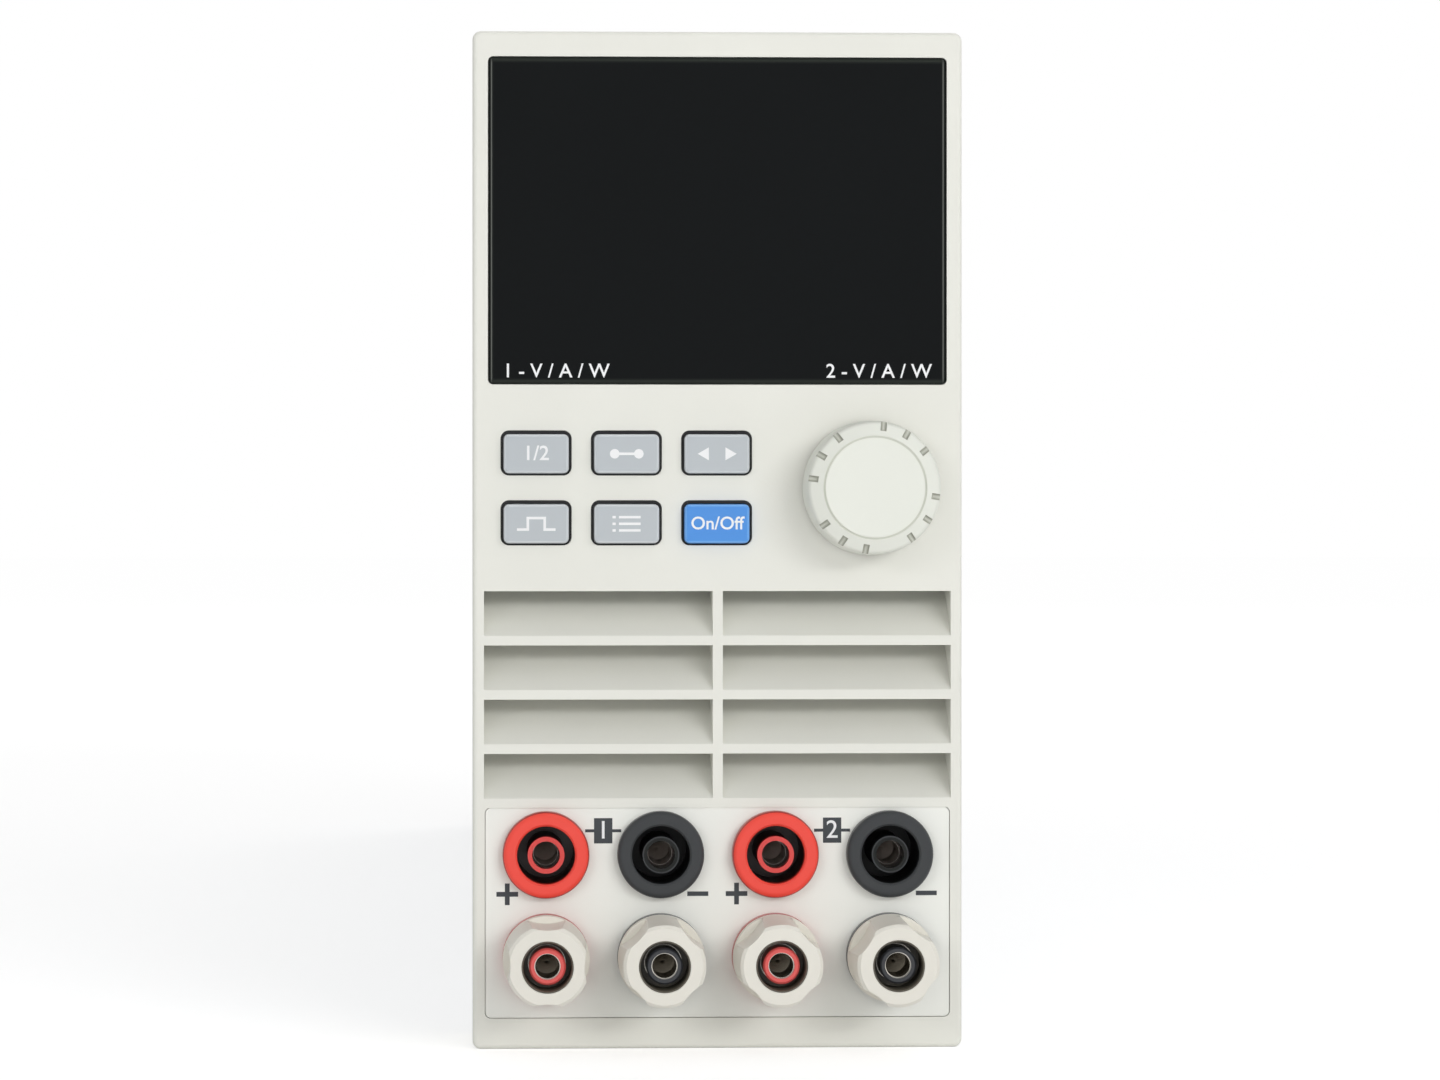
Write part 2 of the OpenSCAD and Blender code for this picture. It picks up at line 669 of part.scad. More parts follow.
// Strap across each pole's two tails, and a bar from the strap to the power board
module bus_bar(column) {
    x = terminal_x[column];
    z = bar_z0 + column * bar_pitch;
    run_x = x + strap_w / 2 - strap_t;
    turn_y = strap_y + 10 + 5 * column;
    foot = 10;
    difference() {
        block([x - strap_w / 2, strap_y, post_z - 6],
            [x + strap_w / 2, strap_y + strap_t, jack_z + 6]);
        for (tail_z = [post_z, jack_z]) translate([x, 0, tail_z])
            rod(tail_d / 2 + fit, strap_y - cut, strap_y + strap_t + cut);
    }
    block([run_x, strap_y, z], [run_x + strap_t, turn_y + strap_t, z + bar_h]);
    block([board_face, turn_y, z], [run_x + strap_t, turn_y + strap_t, z + bar_h]);
    block([board_face, turn_y, z], [board_face + strap_t, turn_y + foot, z + bar_h]);
}

module bus_bars() color(copper) for (column = [0:3]) bus_bar(column);

// Chassis

module front_plate() color(zinc) difference() {
    union() {
        block([-inner_x, chassis_y, sheet], [inner_x, chassis_y + sheet, lid_z]);
        for (side = [-1, 1]) translate([side * (inner_x - sheet / 2), 0, 0])
            block([-sheet / 2, chassis_y, post_z],
                [sheet / 2, chassis_y + plate_flange, lid_z - lid_flange - 3]);
    }
    opening_x = bezel_boss_x - bezel_boss_r + head_gap;
    for (span = [[post_z - 7, terminal_z1], [grille_z0 + 2, grille_z1 + 3],
            [board_z0 + 3, board_z1 - 2]])
        block([-opening_x, chassis_y - cut, span[0]], [opening_x, chassis_y + sheet + cut, span[1]]);
    for (x = [-bezel_boss_x, bezel_boss_x], z = bezel_boss_z) translate([x, 0, z])
        rod(screw_hole_r, chassis_y - cut, chassis_y + sheet + cut);
    side_holes(1);
    side_holes(-1);
}

module chassis_tray() color(zinc) difference() {
    union() {
        translate([0, chassis_y, 0]) deep(body_d - chassis_y) difference() {
            union() {
                translate([-chassis_w / 2, bend_r]) square([chassis_w, lid_z - bend_r]);
                translate([bend_r - chassis_w / 2, 0]) square([chassis_w - 2 * bend_r, bend_r]);
                for (x = [-1, 1]) translate([x * (chassis_w / 2 - bend_r), bend_r]) circle(bend_r);
            }
            translate([-inner_x, sheet]) square([2 * inner_x, lid_z]);
        }
        block([-inner_x - sheet / 2, rear_y, sheet / 2], [inner_x + sheet / 2, body_d, lid_z]);
    }
    side_holes(1);
    side_holes(-1);
    for (z = fan_z) translate([0, 0, z]) {
        rod(fan_bore / 2, rear_y - cut, body_d + cut);
        fan_corners() rod(fan_screw_r + 0.2, rear_y - cut, body_d + cut);
    }
    translate([0, rear_y - cut, plug_z]) plate(plug_w + 2 * fit, plug_h + 2 * fit, 1, sheet + 2 * cut);
}

module top_cover() color(zinc) difference() {
    union() {
        block([-chassis_w / 2, chassis_y, lid_z], [chassis_w / 2, body_d, chassis_h]);
        for (side = [-1, 1]) translate([side * (inner_x - sheet / 2), 0, 0])
            block([-sheet / 2, cover_y, lid_z - lid_flange],
                [sheet / 2, fan_y - 2, lid_z]);
    }
    side_holes(1);
    side_holes(-1);
}

// Screw places on the side walls as [y, z]: the left side carries the board, the right the sinks
cover_places = [for (k = [0:3]) [chassis_y + 24 + k * (fan_y - chassis_y - 50) / 3, lid_z - lid_flange / 2]];
plate_places = [for (z = [post_z + 12, lid_z - lid_flange - 20]) [chassis_y + plate_flange - 5, z]];
board_places = [for (y = standoff_y, z = standoff_z) [y, z]];
sink_places = [for (y = spacer_y, z = sink_z) [y + spacer_l / 2, z + sink_h / 2]];
function side_places(side) = concat(cover_places, plate_places, side < 0 ? board_places : sink_places);

// Places children at every screw of one side wall, with Y pointing into the chassis
module on_side(side) for (p = side_places(side))
    translate([side * chassis_w / 2, p[0], p[1]]) rotate([0, 0, side * 90]) children();

module side_holes(side) on_side(side) rod(screw_hole_r, -cut, 2 * sheet + cut);

module chassis_screws() color(zinc) for (side = [-1, 1]) on_side(side)
    screw(screw_head_r, screw_head_h, screw_r, screw_l);

// Screws that hold the control board, the bezel and the power board, driven from the rear
module inner_screws() color(zinc) {
    for (x = [-boss_x, boss_x], z = board_boss_z) translate([x, board_y + board_t, z])
        rotate([0, 0, 180]) screw(small_head_r, screw_head_h, screw_r - 0.1, screw_l);
    for (x = [-bezel_boss_x, bezel_boss_x], z = bezel_boss_z) translate([x, chassis_y + sheet, z])
        rotate([0, 0, 180]) screw(small_head_r, screw_head_h, screw_r, screw_l);
    for (y = standoff_y, z = standoff_z) translate([board_face, y, z])
        rotate([0, 0, 90]) screw(screw_head_r, screw_head_h, screw_r, 2);
}

// Fans

module fan_corners() for (x = [-1, 1], z = [-1, 1])
    translate([x * fan_holes / 2, 0, z * fan_holes / 2]) children();

module fan_frame(level) color(package_black) translate([0, fan_y, fan_z[level]]) {
    difference() {
        plate(fan_size, fan_size, fan_corner, fan_t);
        rod(fan_bore / 2, -cut, fan_t + cut);
        fan_corners() rod(fan_screw_r + 0.15, -cut, fan_t + cut);
    }
    rod(hub_d / 2, fan_t - spider_t, fan_t);
    for (turn = [0:3]) rotate([0, 45 + 90 * turn, 0])
        block([hub_d / 2 - 1, fan_t - spider_t, -2.5], [fan_bore / 2 + 0.5, fan_t, 2.5]);
    rod(pin_d / 2, fan_t - spider_t - pin_l, fan_t - spider_t);
}

module fan_rotor(level) color([0.14, 0.14, 0.15]) translate([0, fan_y, fan_z[level]]) {
    rear = fan_t - spider_t - 0.6;
    front = rear - hub_l;
    difference() {
        rod(hub_d / 2, front, rear);
        rod(pin_d / 2 + shaft_fit, front + 1, rear + cut);
    }
    blade_r = fan_bore / 2 - tip_gap;
    chord = hub_l / cos(blade_pitch);
    intersection() {
        rod(blade_r, front + 0.5, rear - 0.5);
        for (k = [0:blade_count - 1]) rotate([0, k * 360 / blade_count, 0])
            translate([0, (front + rear) / 2, 0]) rotate([blade_pitch, 0, 0])
                block([hub_d / 2 - 4, -chord / 2, -blade_t / 2], [blade_r + 1, chord / 2, blade_t / 2]);
    }
}

module fan_frame_lower() fan_frame(0);
module fan_frame_upper() fan_frame(1);
module fan_rotor_lower() fan_rotor(0);
module fan_rotor_upper() fan_rotor(1);

module ring(r, wire, y) translate([0, y, 0]) rotate([-90, 0, 0])
    rotate_extrude() translate([r, 0]) circle(wire, $fn = 16);

// Wire finger guard: two diagonal wires on the rear wall, rings on the wires, and an eye at each screw
module fan_guard(level) translate([0, body_d, fan_z[level]]) {
    reach = fan_holes / sqrt(2) - fan_screw_r - 1;
    for (turn = [45, 135]) rotate([0, turn, 0]) translate([-reach, guard_wire, 0]) rotate([0, 90, 0])
        cylinder(r = guard_wire, h = 2 * reach, $fn = 16);
    for (share = guard_rings) ring(share * fan_bore / 2, guard_wire, 2.2 * guard_wire);
    fan_corners() ring(fan_screw_r + 1.2, guard_wire, guard_wire);
}

module fan_guards() color(nickel) for (level = [0, 1]) fan_guard(level);

module fan_screws() color(zinc) for (z = fan_z) translate([0, body_d + 2 * guard_wire, z])
    fan_corners() rotate([0, 0, 180]) screw(fan_head_r, fan_head_h, fan_screw_r, fan_screw_l);

// Power stage

module heat_sink(level) color(aluminium) translate([0, sink_y, sink_z[level]]) difference() {
    deep(sink_l) {
        translate([sink_x0, 0]) square([sink_base, sink_h]);
        for (z = fin_z) translate([sink_x0, z]) square([sink_x1 - sink_x0, fin_t]);
    }
    for (y = package_y) translate([sink_x0, y - sink_y, sink_h / 2]) rotate([0, 0, -90])
        rod(screw_hole_r, -cut, sink_base - 1);
}

module heat_sink_lower() heat_sink(0);
module heat_sink_upper() heat_sink(1);

// Comb blocks that hold the fins of each heat sink to the side wall
module sink_spacers() color([0.75, 0.7, 0.55]) difference() {
    comb_x = sink_x1 - spacer_comb;
    for (p = sink_places)
        block([comb_x, p[0] - spacer_l / 2, p[1] - spacer_h / 2],
            [inner_x, p[0] + spacer_l / 2, p[1] + spacer_h / 2]);
    for (base = sink_z, z = fin_z)
        block([comb_x - cut, spacer_y[0] - cut, base + z - fit],
            [sink_x1 + fit, spacer_y[1] + spacer_l + cut, base + z + fin_t + fit]);
    for (p = sink_places) translate([inner_x, p[0], p[1]]) rotate([0, 0, 90])
        rod(screw_hole_r, -cut, screw_l);
}

module transistor() {
    lead = [0.8, 1.2];
    difference() {
        block([-package[0], -package[1] / 2, -package[2] / 2], [0, package[1] / 2, package[2] / 2]);
        rotate([0, 0, 90]) rod(screw_hole_r, -cut, package[0] + cut);
    }
    for (k = [-1:1]) translate([-package[0] / 2, k * lead_pitch, -package[2] / 2]) {
        block([-lead[0] / 2, -lead[1] / 2, -lead_drop], [lead[0] / 2, lead[1] / 2, 0.5]);
        block([board_face - sink_x0 + package[0] / 2, -lead[1] / 2, -lead_drop],
            [lead[0] / 2, lead[1] / 2, lead[0] - lead_drop]);
    }
}

module power_transistors() color(package_black) for (y = package_y, z = sink_z)
    translate([sink_x0, y, z + sink_h / 2]) transistor();

module transistor_screws() color(zinc) for (y = package_y, z = sink_z)
    translate([sink_x0 - package[0], y, z + sink_h / 2]) rotate([0, 0, -90])
        screw(screw_head_r, screw_head_h, screw_r, package[0] + sink_base - 2);

module power_board() color(board_green) difference() {
    block([board_x, power_y0, power_z0], [board_face, power_y1, power_z1]);
    for (y = standoff_y, z = standoff_z) translate([board_face, y, z]) rotate([0, 0, 90])
        rod(screw_hole_r, -cut, board_t + cut);
}

module board_standoffs() color(zinc) for (y = standoff_y, z = standoff_z)
    translate([-inner_x, y, z]) rotate([0, 0, -90])
        hex_nut(standoff_flats, screw_hole_r, 0, board_x + inner_x);

module capacitors() color([0.12, 0.14, 0.2]) {
    r = capacitor_r;
    edge = 1;
    y = sink_y + sink_l + r + capacitor_gap;
    z = power_z0 + r + capacitor_gap;
    for (k = [0:3]) translate([board_face, y, z + k * (2 * r + capacitor_gap)]) rotate([0, 0, -90])
        turned([[0, 0], [r, 0], [r, capacitor_l - edge], [r - edge, capacitor_l], [0, capacitor_l]]);
}

// Bridge of resistance strip for each channel, standing on the board
module shunt_resistors() color(copper) for (level = [0, 1])
    translate([board_face, shunt_y, sink_z[level] + (1 - level) * (sink_h - shunt[2])]) difference() {
        cube(shunt);
        block([-cut, shunt_t, -cut], [shunt[0] - shunt_t, shunt[1] - shunt_t, shunt[2] + cut]);
    }

module cable_headers() color([0.15, 0.15, 0.16]) {
    block([cable_x - header[0] / 2, board_y + board_t, header_z - header[2] / 2],
        [cable_x + header[0] / 2, board_y + board_t + header[1], header_z + header[2] / 2]);
    block([board_face, header_y, header_z - header[2] / 2],
        [board_face + header[1], header_y + header[0], header_z + header[2] / 2]);
}

// Flat cable between the two headers: straight back, then a quarter bend to the power board
module ribbon_cable() color([0.55, 0.56, 0.58]) {
    bend = cable_bend;
    half = cable_t / 2;
    y0 = board_y + board_t + header[1];
    y1 = header_y + header[0] / 2;
    x1 = board_face + header[1];
    translate([0, 0, header_z - header[2] / 2 + 1]) linear_extrude(header[2] - 2) polygon(concat(
        [[cable_x - half, y0], [cable_x + half, y0]],
        corner(cable_x - bend, y1 - bend, bend + half, 0, 90),
        [[x1, y1 + half], [x1, y1 - half]],
        corner(cable_x - bend, y1 - bend, bend - half, 90, 0)));
}

// Rear connector

module backplane_plug() color(package_black) translate([0, 0, plug_z]) difference() {
    union() {
        translate([0, rear_y - 4, 0]) plate(plug_w, plug_h, 1, plug_proud + sheet + 4);
        translate([0, rear_y - 4, 0]) plate(plug_w + 8, plug_h + 4, 1, 4);
    }
    translate([0, body_d + 1, 0]) plate(plug_w - 4, plug_h - 3.5, 0.6, plug_proud);
}

module plug_pins() color(nickel) for (column = [0:pin_columns - 1], row = [-1, 1])
    translate([(column - (pin_columns - 1) / 2) * pin_pitch, body_d + 1, plug_z + row * pin_pitch / 2])
        block([-0.32, 0, -0.32], [0.32, plug_proud - 3, 0.32]);

module rear_board() color(board_green)
    block([-inner_x + 2, rear_y - 4 - board_t, sheet + 2], [inner_x - 2, rear_y - 4, plug_z + 14]);

at_origin() front_bezel();
at_origin() terminal_panel();
at_origin() display_window();
at_origin() display_module();
at_origin() keypad_mat();
at_origin() key_channel();
at_origin() key_short();
at_origin() key_cursor();
at_origin() key_pulse();
at_origin() key_mode();
at_origin() key_input();
at_origin() control_board();
at_origin() encoder_body();
at_origin() encoder_shaft();
at_origin() control_knob();
at_origin() jack_shrouds_red();
at_origin() jack_shrouds_black();
at_origin() jack_contacts();
at_origin() terminal_nuts();
at_origin() post_insulators_red();
at_origin() post_insulators_black();
at_origin() post_studs();
at_origin() post_washer_1();
at_origin() post_washer_2();
at_origin() post_washer_3();
at_origin() post_washer_4();
at_origin() post_cap_1();
at_origin() post_cap_2();
at_origin() post_cap_3();
at_origin() post_cap_4();
at_origin() tail_nuts();
at_origin() bus_bars();
at_origin() front_plate();
at_origin() chassis_tray();
at_origin() top_cover();
at_origin() chassis_screws();
at_origin() inner_screws();
at_origin() fan_frame_lower();
at_origin() fan_frame_upper();
at_origin() fan_rotor_lower();
at_origin() fan_rotor_upper();
at_origin() fan_guards();
at_origin() fan_screws();
at_origin() heat_sink_lower();
at_origin() heat_sink_upper();
at_origin() sink_spacers();
at_origin() power_transistors();
at_origin() transistor_screws();
at_origin() power_board();
at_origin() board_standoffs();
at_origin() capacitors();
at_origin() shunt_resistors();
at_origin() ribbon_cable();
at_origin() cable_headers();
at_origin() backplane_plug();
at_origin() plug_pins();
at_origin() rear_board();
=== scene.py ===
"""Looks of the dc electronic load module: finishes for every solid, printed signs, light and camera."""
import json
import math

import bmesh
import bpy
from mathutils import Matrix, Vector


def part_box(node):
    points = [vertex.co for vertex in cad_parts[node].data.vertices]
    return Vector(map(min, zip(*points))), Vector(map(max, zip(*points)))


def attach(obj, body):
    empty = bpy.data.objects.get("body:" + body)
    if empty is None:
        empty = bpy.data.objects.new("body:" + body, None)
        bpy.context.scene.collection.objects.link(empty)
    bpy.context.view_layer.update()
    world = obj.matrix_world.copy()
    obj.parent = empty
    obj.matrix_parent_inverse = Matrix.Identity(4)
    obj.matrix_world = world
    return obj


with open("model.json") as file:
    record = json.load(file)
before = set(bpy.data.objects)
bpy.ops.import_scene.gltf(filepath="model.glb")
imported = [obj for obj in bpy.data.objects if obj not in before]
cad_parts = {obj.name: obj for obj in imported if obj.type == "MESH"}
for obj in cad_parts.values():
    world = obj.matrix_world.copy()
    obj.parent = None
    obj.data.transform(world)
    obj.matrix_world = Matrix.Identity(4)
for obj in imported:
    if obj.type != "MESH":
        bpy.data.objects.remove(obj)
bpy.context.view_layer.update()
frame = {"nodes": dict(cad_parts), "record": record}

MM = 0.001
QUARTER_TURN = math.pi / 2
MODULE = "module"
POSTS = (1, 2, 3, 4)
GREY_KEYS = ("key_channel", "key_short", "key_cursor", "key_pulse", "key_mode")

# Camera, as the photograph was taken: a long lens, a little left of the panel's middle
IMAGE_W, IMAGE_H = 1440, 1080
LENS = 108
SENSOR = 36
CAMERA_X = -41 * MM
CAMERA_Z = 91 * MM
CAMERA_DISTANCE = 717 * MM
AXIS_X = -14.4 * MM
PANEL_PIXEL = (718, 540)

# Knob: where the middle groove of a group of three lies, and the step to the next, in degrees
GRIP_MIDDLE = 59
GRIP_STEP = 22.7

# Knob: where the grooves' painted shade starts, how wide and deep the grooves are, and the line round its
# face
GRIP_START = 9.4 * MM
GRIP_HALF_W = 0.55 * MM
GRIP_DEPTH = 2.0 * MM
FACE_LINE_R = 8.35 * MM
FACE_LINE_HALF_W = 0.18 * MM

# Painted edge highlights: how far inside the edge they run, and how far they fade to each side
KEY_LINE = (1.05 * MM, 0.25 * MM)
PANE_BEVEL = (0.3 * MM, 0.7 * MM)
PANE_GLINT = (0.5 * MM, 0.16 * MM)

# Terminals: radii round the axis, and depths counted back from the panel's face, of the shade painted in
# their bores and on their sides
JACK_FACE_MARGIN = 0.2 * MM
RING_R = 4.9 * MM
RING_MOUTH = -1.5 * MM
RING_DEPTH = 2.5 * MM
RED_SLEEVE_R = 3.2 * MM
BLACK_SLEEVE_R = 2.85 * MM
SLEEVE_MOUTH = -1.8 * MM
SLEEVE_DEPTH = 0.1 * MM
CONTACT_RIM_R = 2.4 * MM
CONTACT_BORE_R = 2.03 * MM
CONTACT_MOUTH = 3.0 * MM
CONTACT_DEPTH = 0.4 * MM
COLLAR_FACE_MARGIN = 0.4 * MM
STUD_BORE_R = 2.1 * MM
STUD_MOUTH = -14.2 * MM
STUD_DEPTH = 3.0 * MM

# Print: how far it stands proud, and how much its letters gain in weight, as a share of their height
INK_PROUD = 0.02 * MM
LIGHT, MEDIUM, BOLD = 0.004, 0.008, 0.012


def middle(node):
    """The middle of a node's box."""
    low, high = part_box(node)
    return (low + high) / 2


# Places that the frame gives
panel_low, panel_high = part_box("front_bezel")
window_low, window_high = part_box("display_window")
stud_low, stud_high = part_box("post_studs")
flange_low, flange_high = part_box("jack_shrouds_red")
face_y = panel_low.y
panel_mid_z = (panel_low.z + panel_high.z) / 2
terminal_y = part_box("terminal_panel")[0].y
jack_z = middle("jack_contacts").z
post_z = middle("post_studs").z
flange_r = (flange_high.z - flange_low.z) / 2
column_pitch = (stud_high.x - stud_low.x - (stud_high.z - stud_low.z)) / (len(POSTS) - 1)
slot_of = {entry["node"]: entry["material_slot"] for entry in frame["record"]["subparts"]}


def srgb(red, green, blue):
    """Linear colour of a screen colour given in 0 to 255."""
    def linear(v):
        v /= 255
        return v / 12.92 if v <= 0.04045 else ((v + 0.055) / 1.055) ** 2.4
    return (linear(red), linear(green), linear(blue), 1.0)


# Shader groups

# Most of a noise lies between these
NOISE_LOW, NOISE_HIGH = 0.3, 0.7


class Group:
    """A shader node group with named sockets."""

    def __init__(self, name, inputs, outputs):
        self.tree = bpy.data.node_groups.new(name, "ShaderNodeTree")
        for kind, socket, value in inputs:
            made = self.tree.interface.new_socket(socket, in_out="INPUT", socket_type="NodeSocket" + kind)
            made.default_value = value
        for kind, socket in outputs:
            self.tree.interface.new_socket(socket, in_out="OUTPUT", socket_type="NodeSocket" + kind)
        self.given = self.add("NodeGroupInput").outputs
        self.made = self.add("NodeGroupOutput").inputs

    def add(self, kind, **settings):
        """A new node with its settings."""
        node = self.tree.nodes.new(kind)
        for key, value in settings.items():
            setattr(node, key, value)
        return node

    def link(self, source, target):
        self.tree.links.new(source, target)

    def feed(self, source, target):
        """Sets a socket to a number, or links it to another socket."""
        if isinstance(source, (int, float)):
            target.default_value = source
        else:
            self.link(source, target)

    def place(self):
        """Object coordinates, so that a pattern stays on its piece."""
        return self.add("ShaderNodeTexCoord").outputs["Object"]

    def from_centre(self):
        """Object coordinates, counted from the group's Centre."""
        away = self.add("ShaderNodeVectorMath", operation="SUBTRACT")
        self.link(self.place(), away.inputs[0])
        self.link(self.given["Centre"], away.inputs[1])
        return away.outputs["Vector"]

    def axes(self, vector):
        """The X, Y and Z of a vector."""
        node = self.add("ShaderNodeSeparateXYZ")
        self.link(vector, node.inputs["Vector"])
        return node.outputs

    def noise(self, scale, detail=3.0, rough=0.5, stretch=None):
        """Noise whose scale is a socket or a number, stretched along the axes if asked."""
        node = self.add("ShaderNodeTexNoise")
        node.inputs["Detail"].default_value = detail
        node.inputs["Roughness"].default_value = rough
        where = self.place()
        if stretch:
            turn = self.add("ShaderNodeMapping")
            turn.inputs["Scale"].default_value = stretch
            self.link(where, turn.inputs["Vector"])
            where = turn.outputs["Vector"]
        self.link(where, node.inputs["Vector"])
        self.feed(scale, node.inputs["Scale"])
        return node.outputs["Fac"]

    def math(self, operation, first, second=0.0):
        """Works out a value from sockets or numbers; an operation on one value ignores the second."""
        node = self.add("ShaderNodeMath", operation=operation)
        self.feed(first, node.inputs[0])
        self.feed(second, node.inputs[1])
        return node.outputs["Value"]

    def gap(self, value, goal):
        """How far a value is from a goal."""
        return self.math("ABSOLUTE", self.math("SUBTRACT", value, goal))

    def off_axis(self, across, up):
        """Distance from an axis that runs from front to back."""
        squares = self.math("ADD", self.math("MULTIPLY", across, across), self.math("MULTIPLY", up, up))
        return self.math("SQRT", squares)

    def span(self, value, low, high, from_low=NOISE_LOW, from_high=NOISE_HIGH):
        """Maps a mask to the range between low and high."""
        node = self.add("ShaderNodeMapRange")
        self.link(value, node.inputs["Value"])
        node.inputs["From Min"].default_value = from_low
        node.inputs["From Max"].default_value = from_high
        self.feed(low, node.inputs["To Min"])
        self.feed(high, node.inputs["To Max"])
        return node.outputs["Result"]

    def around_one(self, value, reach, from_low=NOISE_LOW, from_high=NOISE_HIGH):
        """Maps a mask to factors between one less the reach and one more the reach."""
        low = self.math("SUBTRACT", 1.0, reach)
        high = self.math("ADD", 1.0, reach)
        return self.span(value, low, high, from_low, from_high)

    def scaled(self, colour, factor):
        """A colour made lighter or darker by a factor that varies."""
        node = self.add("ShaderNodeHueSaturation")
        self.link(colour, node.inputs["Color"])
        self.link(factor, node.inputs["Value"])
        return node.outputs["Color"]

    def bump(self, height, depth):
        """A normal that follows a height of the given depth."""
        node = self.add("ShaderNodeBump")
        self.link(height, node.inputs["Height"])
        self.feed(depth, node.inputs["Distance"])
        return node.outputs["Normal"]


def moulded_skin():
    """Moulded plastic: soft clouds in the colour, a fine spark-eroded grain and uneven gloss."""
    cloud_scale, patch_scale = 45, 220
    group = Group(
        "moulded_skin",
        [("Color", "Colour", (1, 1, 1, 1)), ("Float", "Cloud", 0.02), ("Float", "Grain scale", 2500),
         ("Float", "Grain depth", 0.00001), ("Float", "Gloss low", 0.4), ("Float", "Gloss high", 0.5)],
        [("Color", "Colour"), ("Float", "Roughness"), ("Vector", "Normal")])
    shade = group.around_one(group.noise(cloud_scale), group.given["Cloud"])
    group.link(group.scaled(group.given["Colour"], shade), group.made["Colour"])
    patches = group.noise(patch_scale, detail=4.0)
    gloss = group.span(patches, group.given["Gloss low"], group.given["Gloss high"])
    group.link(gloss, group.made["Roughness"])
    grain = group.noise(group.given["Grain scale"], detail=2.0)
    group.link(group.bump(grain, group.given["Grain depth"]), group.made["Normal"])
    return group.tree


def zinc_spangle():
    """Zinc-coated sheet: faint crystal patches, rolling lines and small rubs."""
    warp_scale, warp_reach = 160, 0.004
    line_scale, line_stretch, line_depth = 60, (30, 1, 30), 0.000004
    rub_scale = 35
    line_shade, rub_shade = (0.97, 1.03), (0.95, 1.03)
    flake_gloss, rub_gloss = (0.33, 0.4), (-0.03, 0.06)
    group = Group(
        "zinc_spangle",
        [("Color", "Colour", (1, 1, 1, 1)), ("Float", "Spangle scale", 150), ("Float", "Spangle", 0.03)],
        [("Color", "Colour"), ("Float", "Roughness"), ("Vector", "Normal")])
    where = group.place()
    warp = group.add("ShaderNodeTexNoise")
    warp.inputs["Scale"].default_value = warp_scale
    group.link(where, warp.inputs["Vector"])
    warped = group.add("ShaderNodeVectorMath", operation="MULTIPLY_ADD")
    group.link(warp.outputs["Color"], warped.inputs[0])
    warped.inputs[1].default_value = (warp_reach, warp_reach, warp_reach)
    group.link(where, warped.inputs[2])
    cells = group.add("ShaderNodeTexVoronoi")
    group.link(warped.outputs["Vector"], cells.inputs["Vector"])
    group.link(group.given["Spangle scale"], cells.inputs["Scale"])
    flake = group.add("ShaderNodeSeparateColor")
    group.link(cells.outputs["Color"], flake.inputs["Color"])
    lines = group.noise(line_scale, detail=4.0, stretch=line_stretch)
    rubs = group.noise(rub_scale, detail=6.0, rough=0.65)
    patch = group.around_one(flake.outputs["Red"], group.given["Spangle"], 0.0, 1.0)
    shade = group.math("MULTIPLY", patch, group.span(lines, *line_shade))
    shade = group.math("MULTIPLY", shade, group.span(rubs, *rub_shade))
    group.link(group.scaled(group.given["Colour"], shade), group.made["Colour"])
    gloss = group.span(flake.outputs["Green"], *flake_gloss, 0.0, 1.0)
    group.link(group.math("ADD", gloss, group.span(rubs, *rub_gloss)), group.made["Roughness"])
    group.link(group.bump(lines, line_depth), group.made["Normal"])
    return group.tree


def plated_metal():
    """Plated turned metal: fine tool marks and a thin film of handling."""
    film_scale, film_shade = 300, (0.9, 1.04)
    mark_scale, mark_stretch, mark_depth = 900, (1, 8, 1), 0.000004
    group = Group(
        "plated_metal",
        [("Color", "Colour", (1, 1, 1, 1)), ("Float", "Gloss low", 0.12), ("Float", "Gloss high", 0.3)],
        [("Color", "Colour"), ("Float", "Roughness"), ("Vector", "Normal")])
    film = group.noise(film_scale, detail=5.0, rough=0.6)
    group.link(group.scaled(group.given["Colour"], group.span(film, *film_shade)), group.made["Colour"])
    gloss = group.span(film, group.given["Gloss low"], group.given["Gloss high"])
    group.link(gloss, group.made["Roughness"])
    marks = group.noise(mark_scale, detail=2.0, stretch=mark_stretch)
    group.link(group.bump(marks, mark_depth), group.made["Normal"])
    return group.tree


def terminal_bore():
    """Masks of what lies inside and outside a radius round each terminal of one row, where shade is
    painted.

    The inner mask grows with the depth behind the bores' mouths.
    """
    group = Group(
        "terminal_bore",
        [("Float", "Pitch", 0.019), ("Float", "Height", 0.03), ("Float", "Radius", 0.002),
         ("Float", "Mouth", 0.0), ("Float", "Full depth", 0.003)],
        [("Float", "Inside"), ("Float", "Outside")])
    where = group.axes(group.place())
    column = group.math("DIVIDE", where["X"], group.given["Pitch"])
    across = group.math("SUBTRACT", group.math("FRACT", column), 0.5)
    across = group.math("MULTIPLY", across, group.given["Pitch"])
    up = group.math("SUBTRACT", where["Z"], group.given["Height"])
    inside = group.math("LESS_THAN", group.off_axis(across, up), group.given["Radius"])
    depth = group.math("SUBTRACT", where["Y"], group.given["Mouth"])
    share = group.span(group.math("DIVIDE", depth, group.given["Full depth"]), 0.0, 1.0, 0.0, 1.0)
    group.link(group.math("MULTIPLY", inside, share), group.made["Inside"])
    group.link(group.math("SUBTRACT", 1.0, inside), group.made["Outside"])
    return group.tree


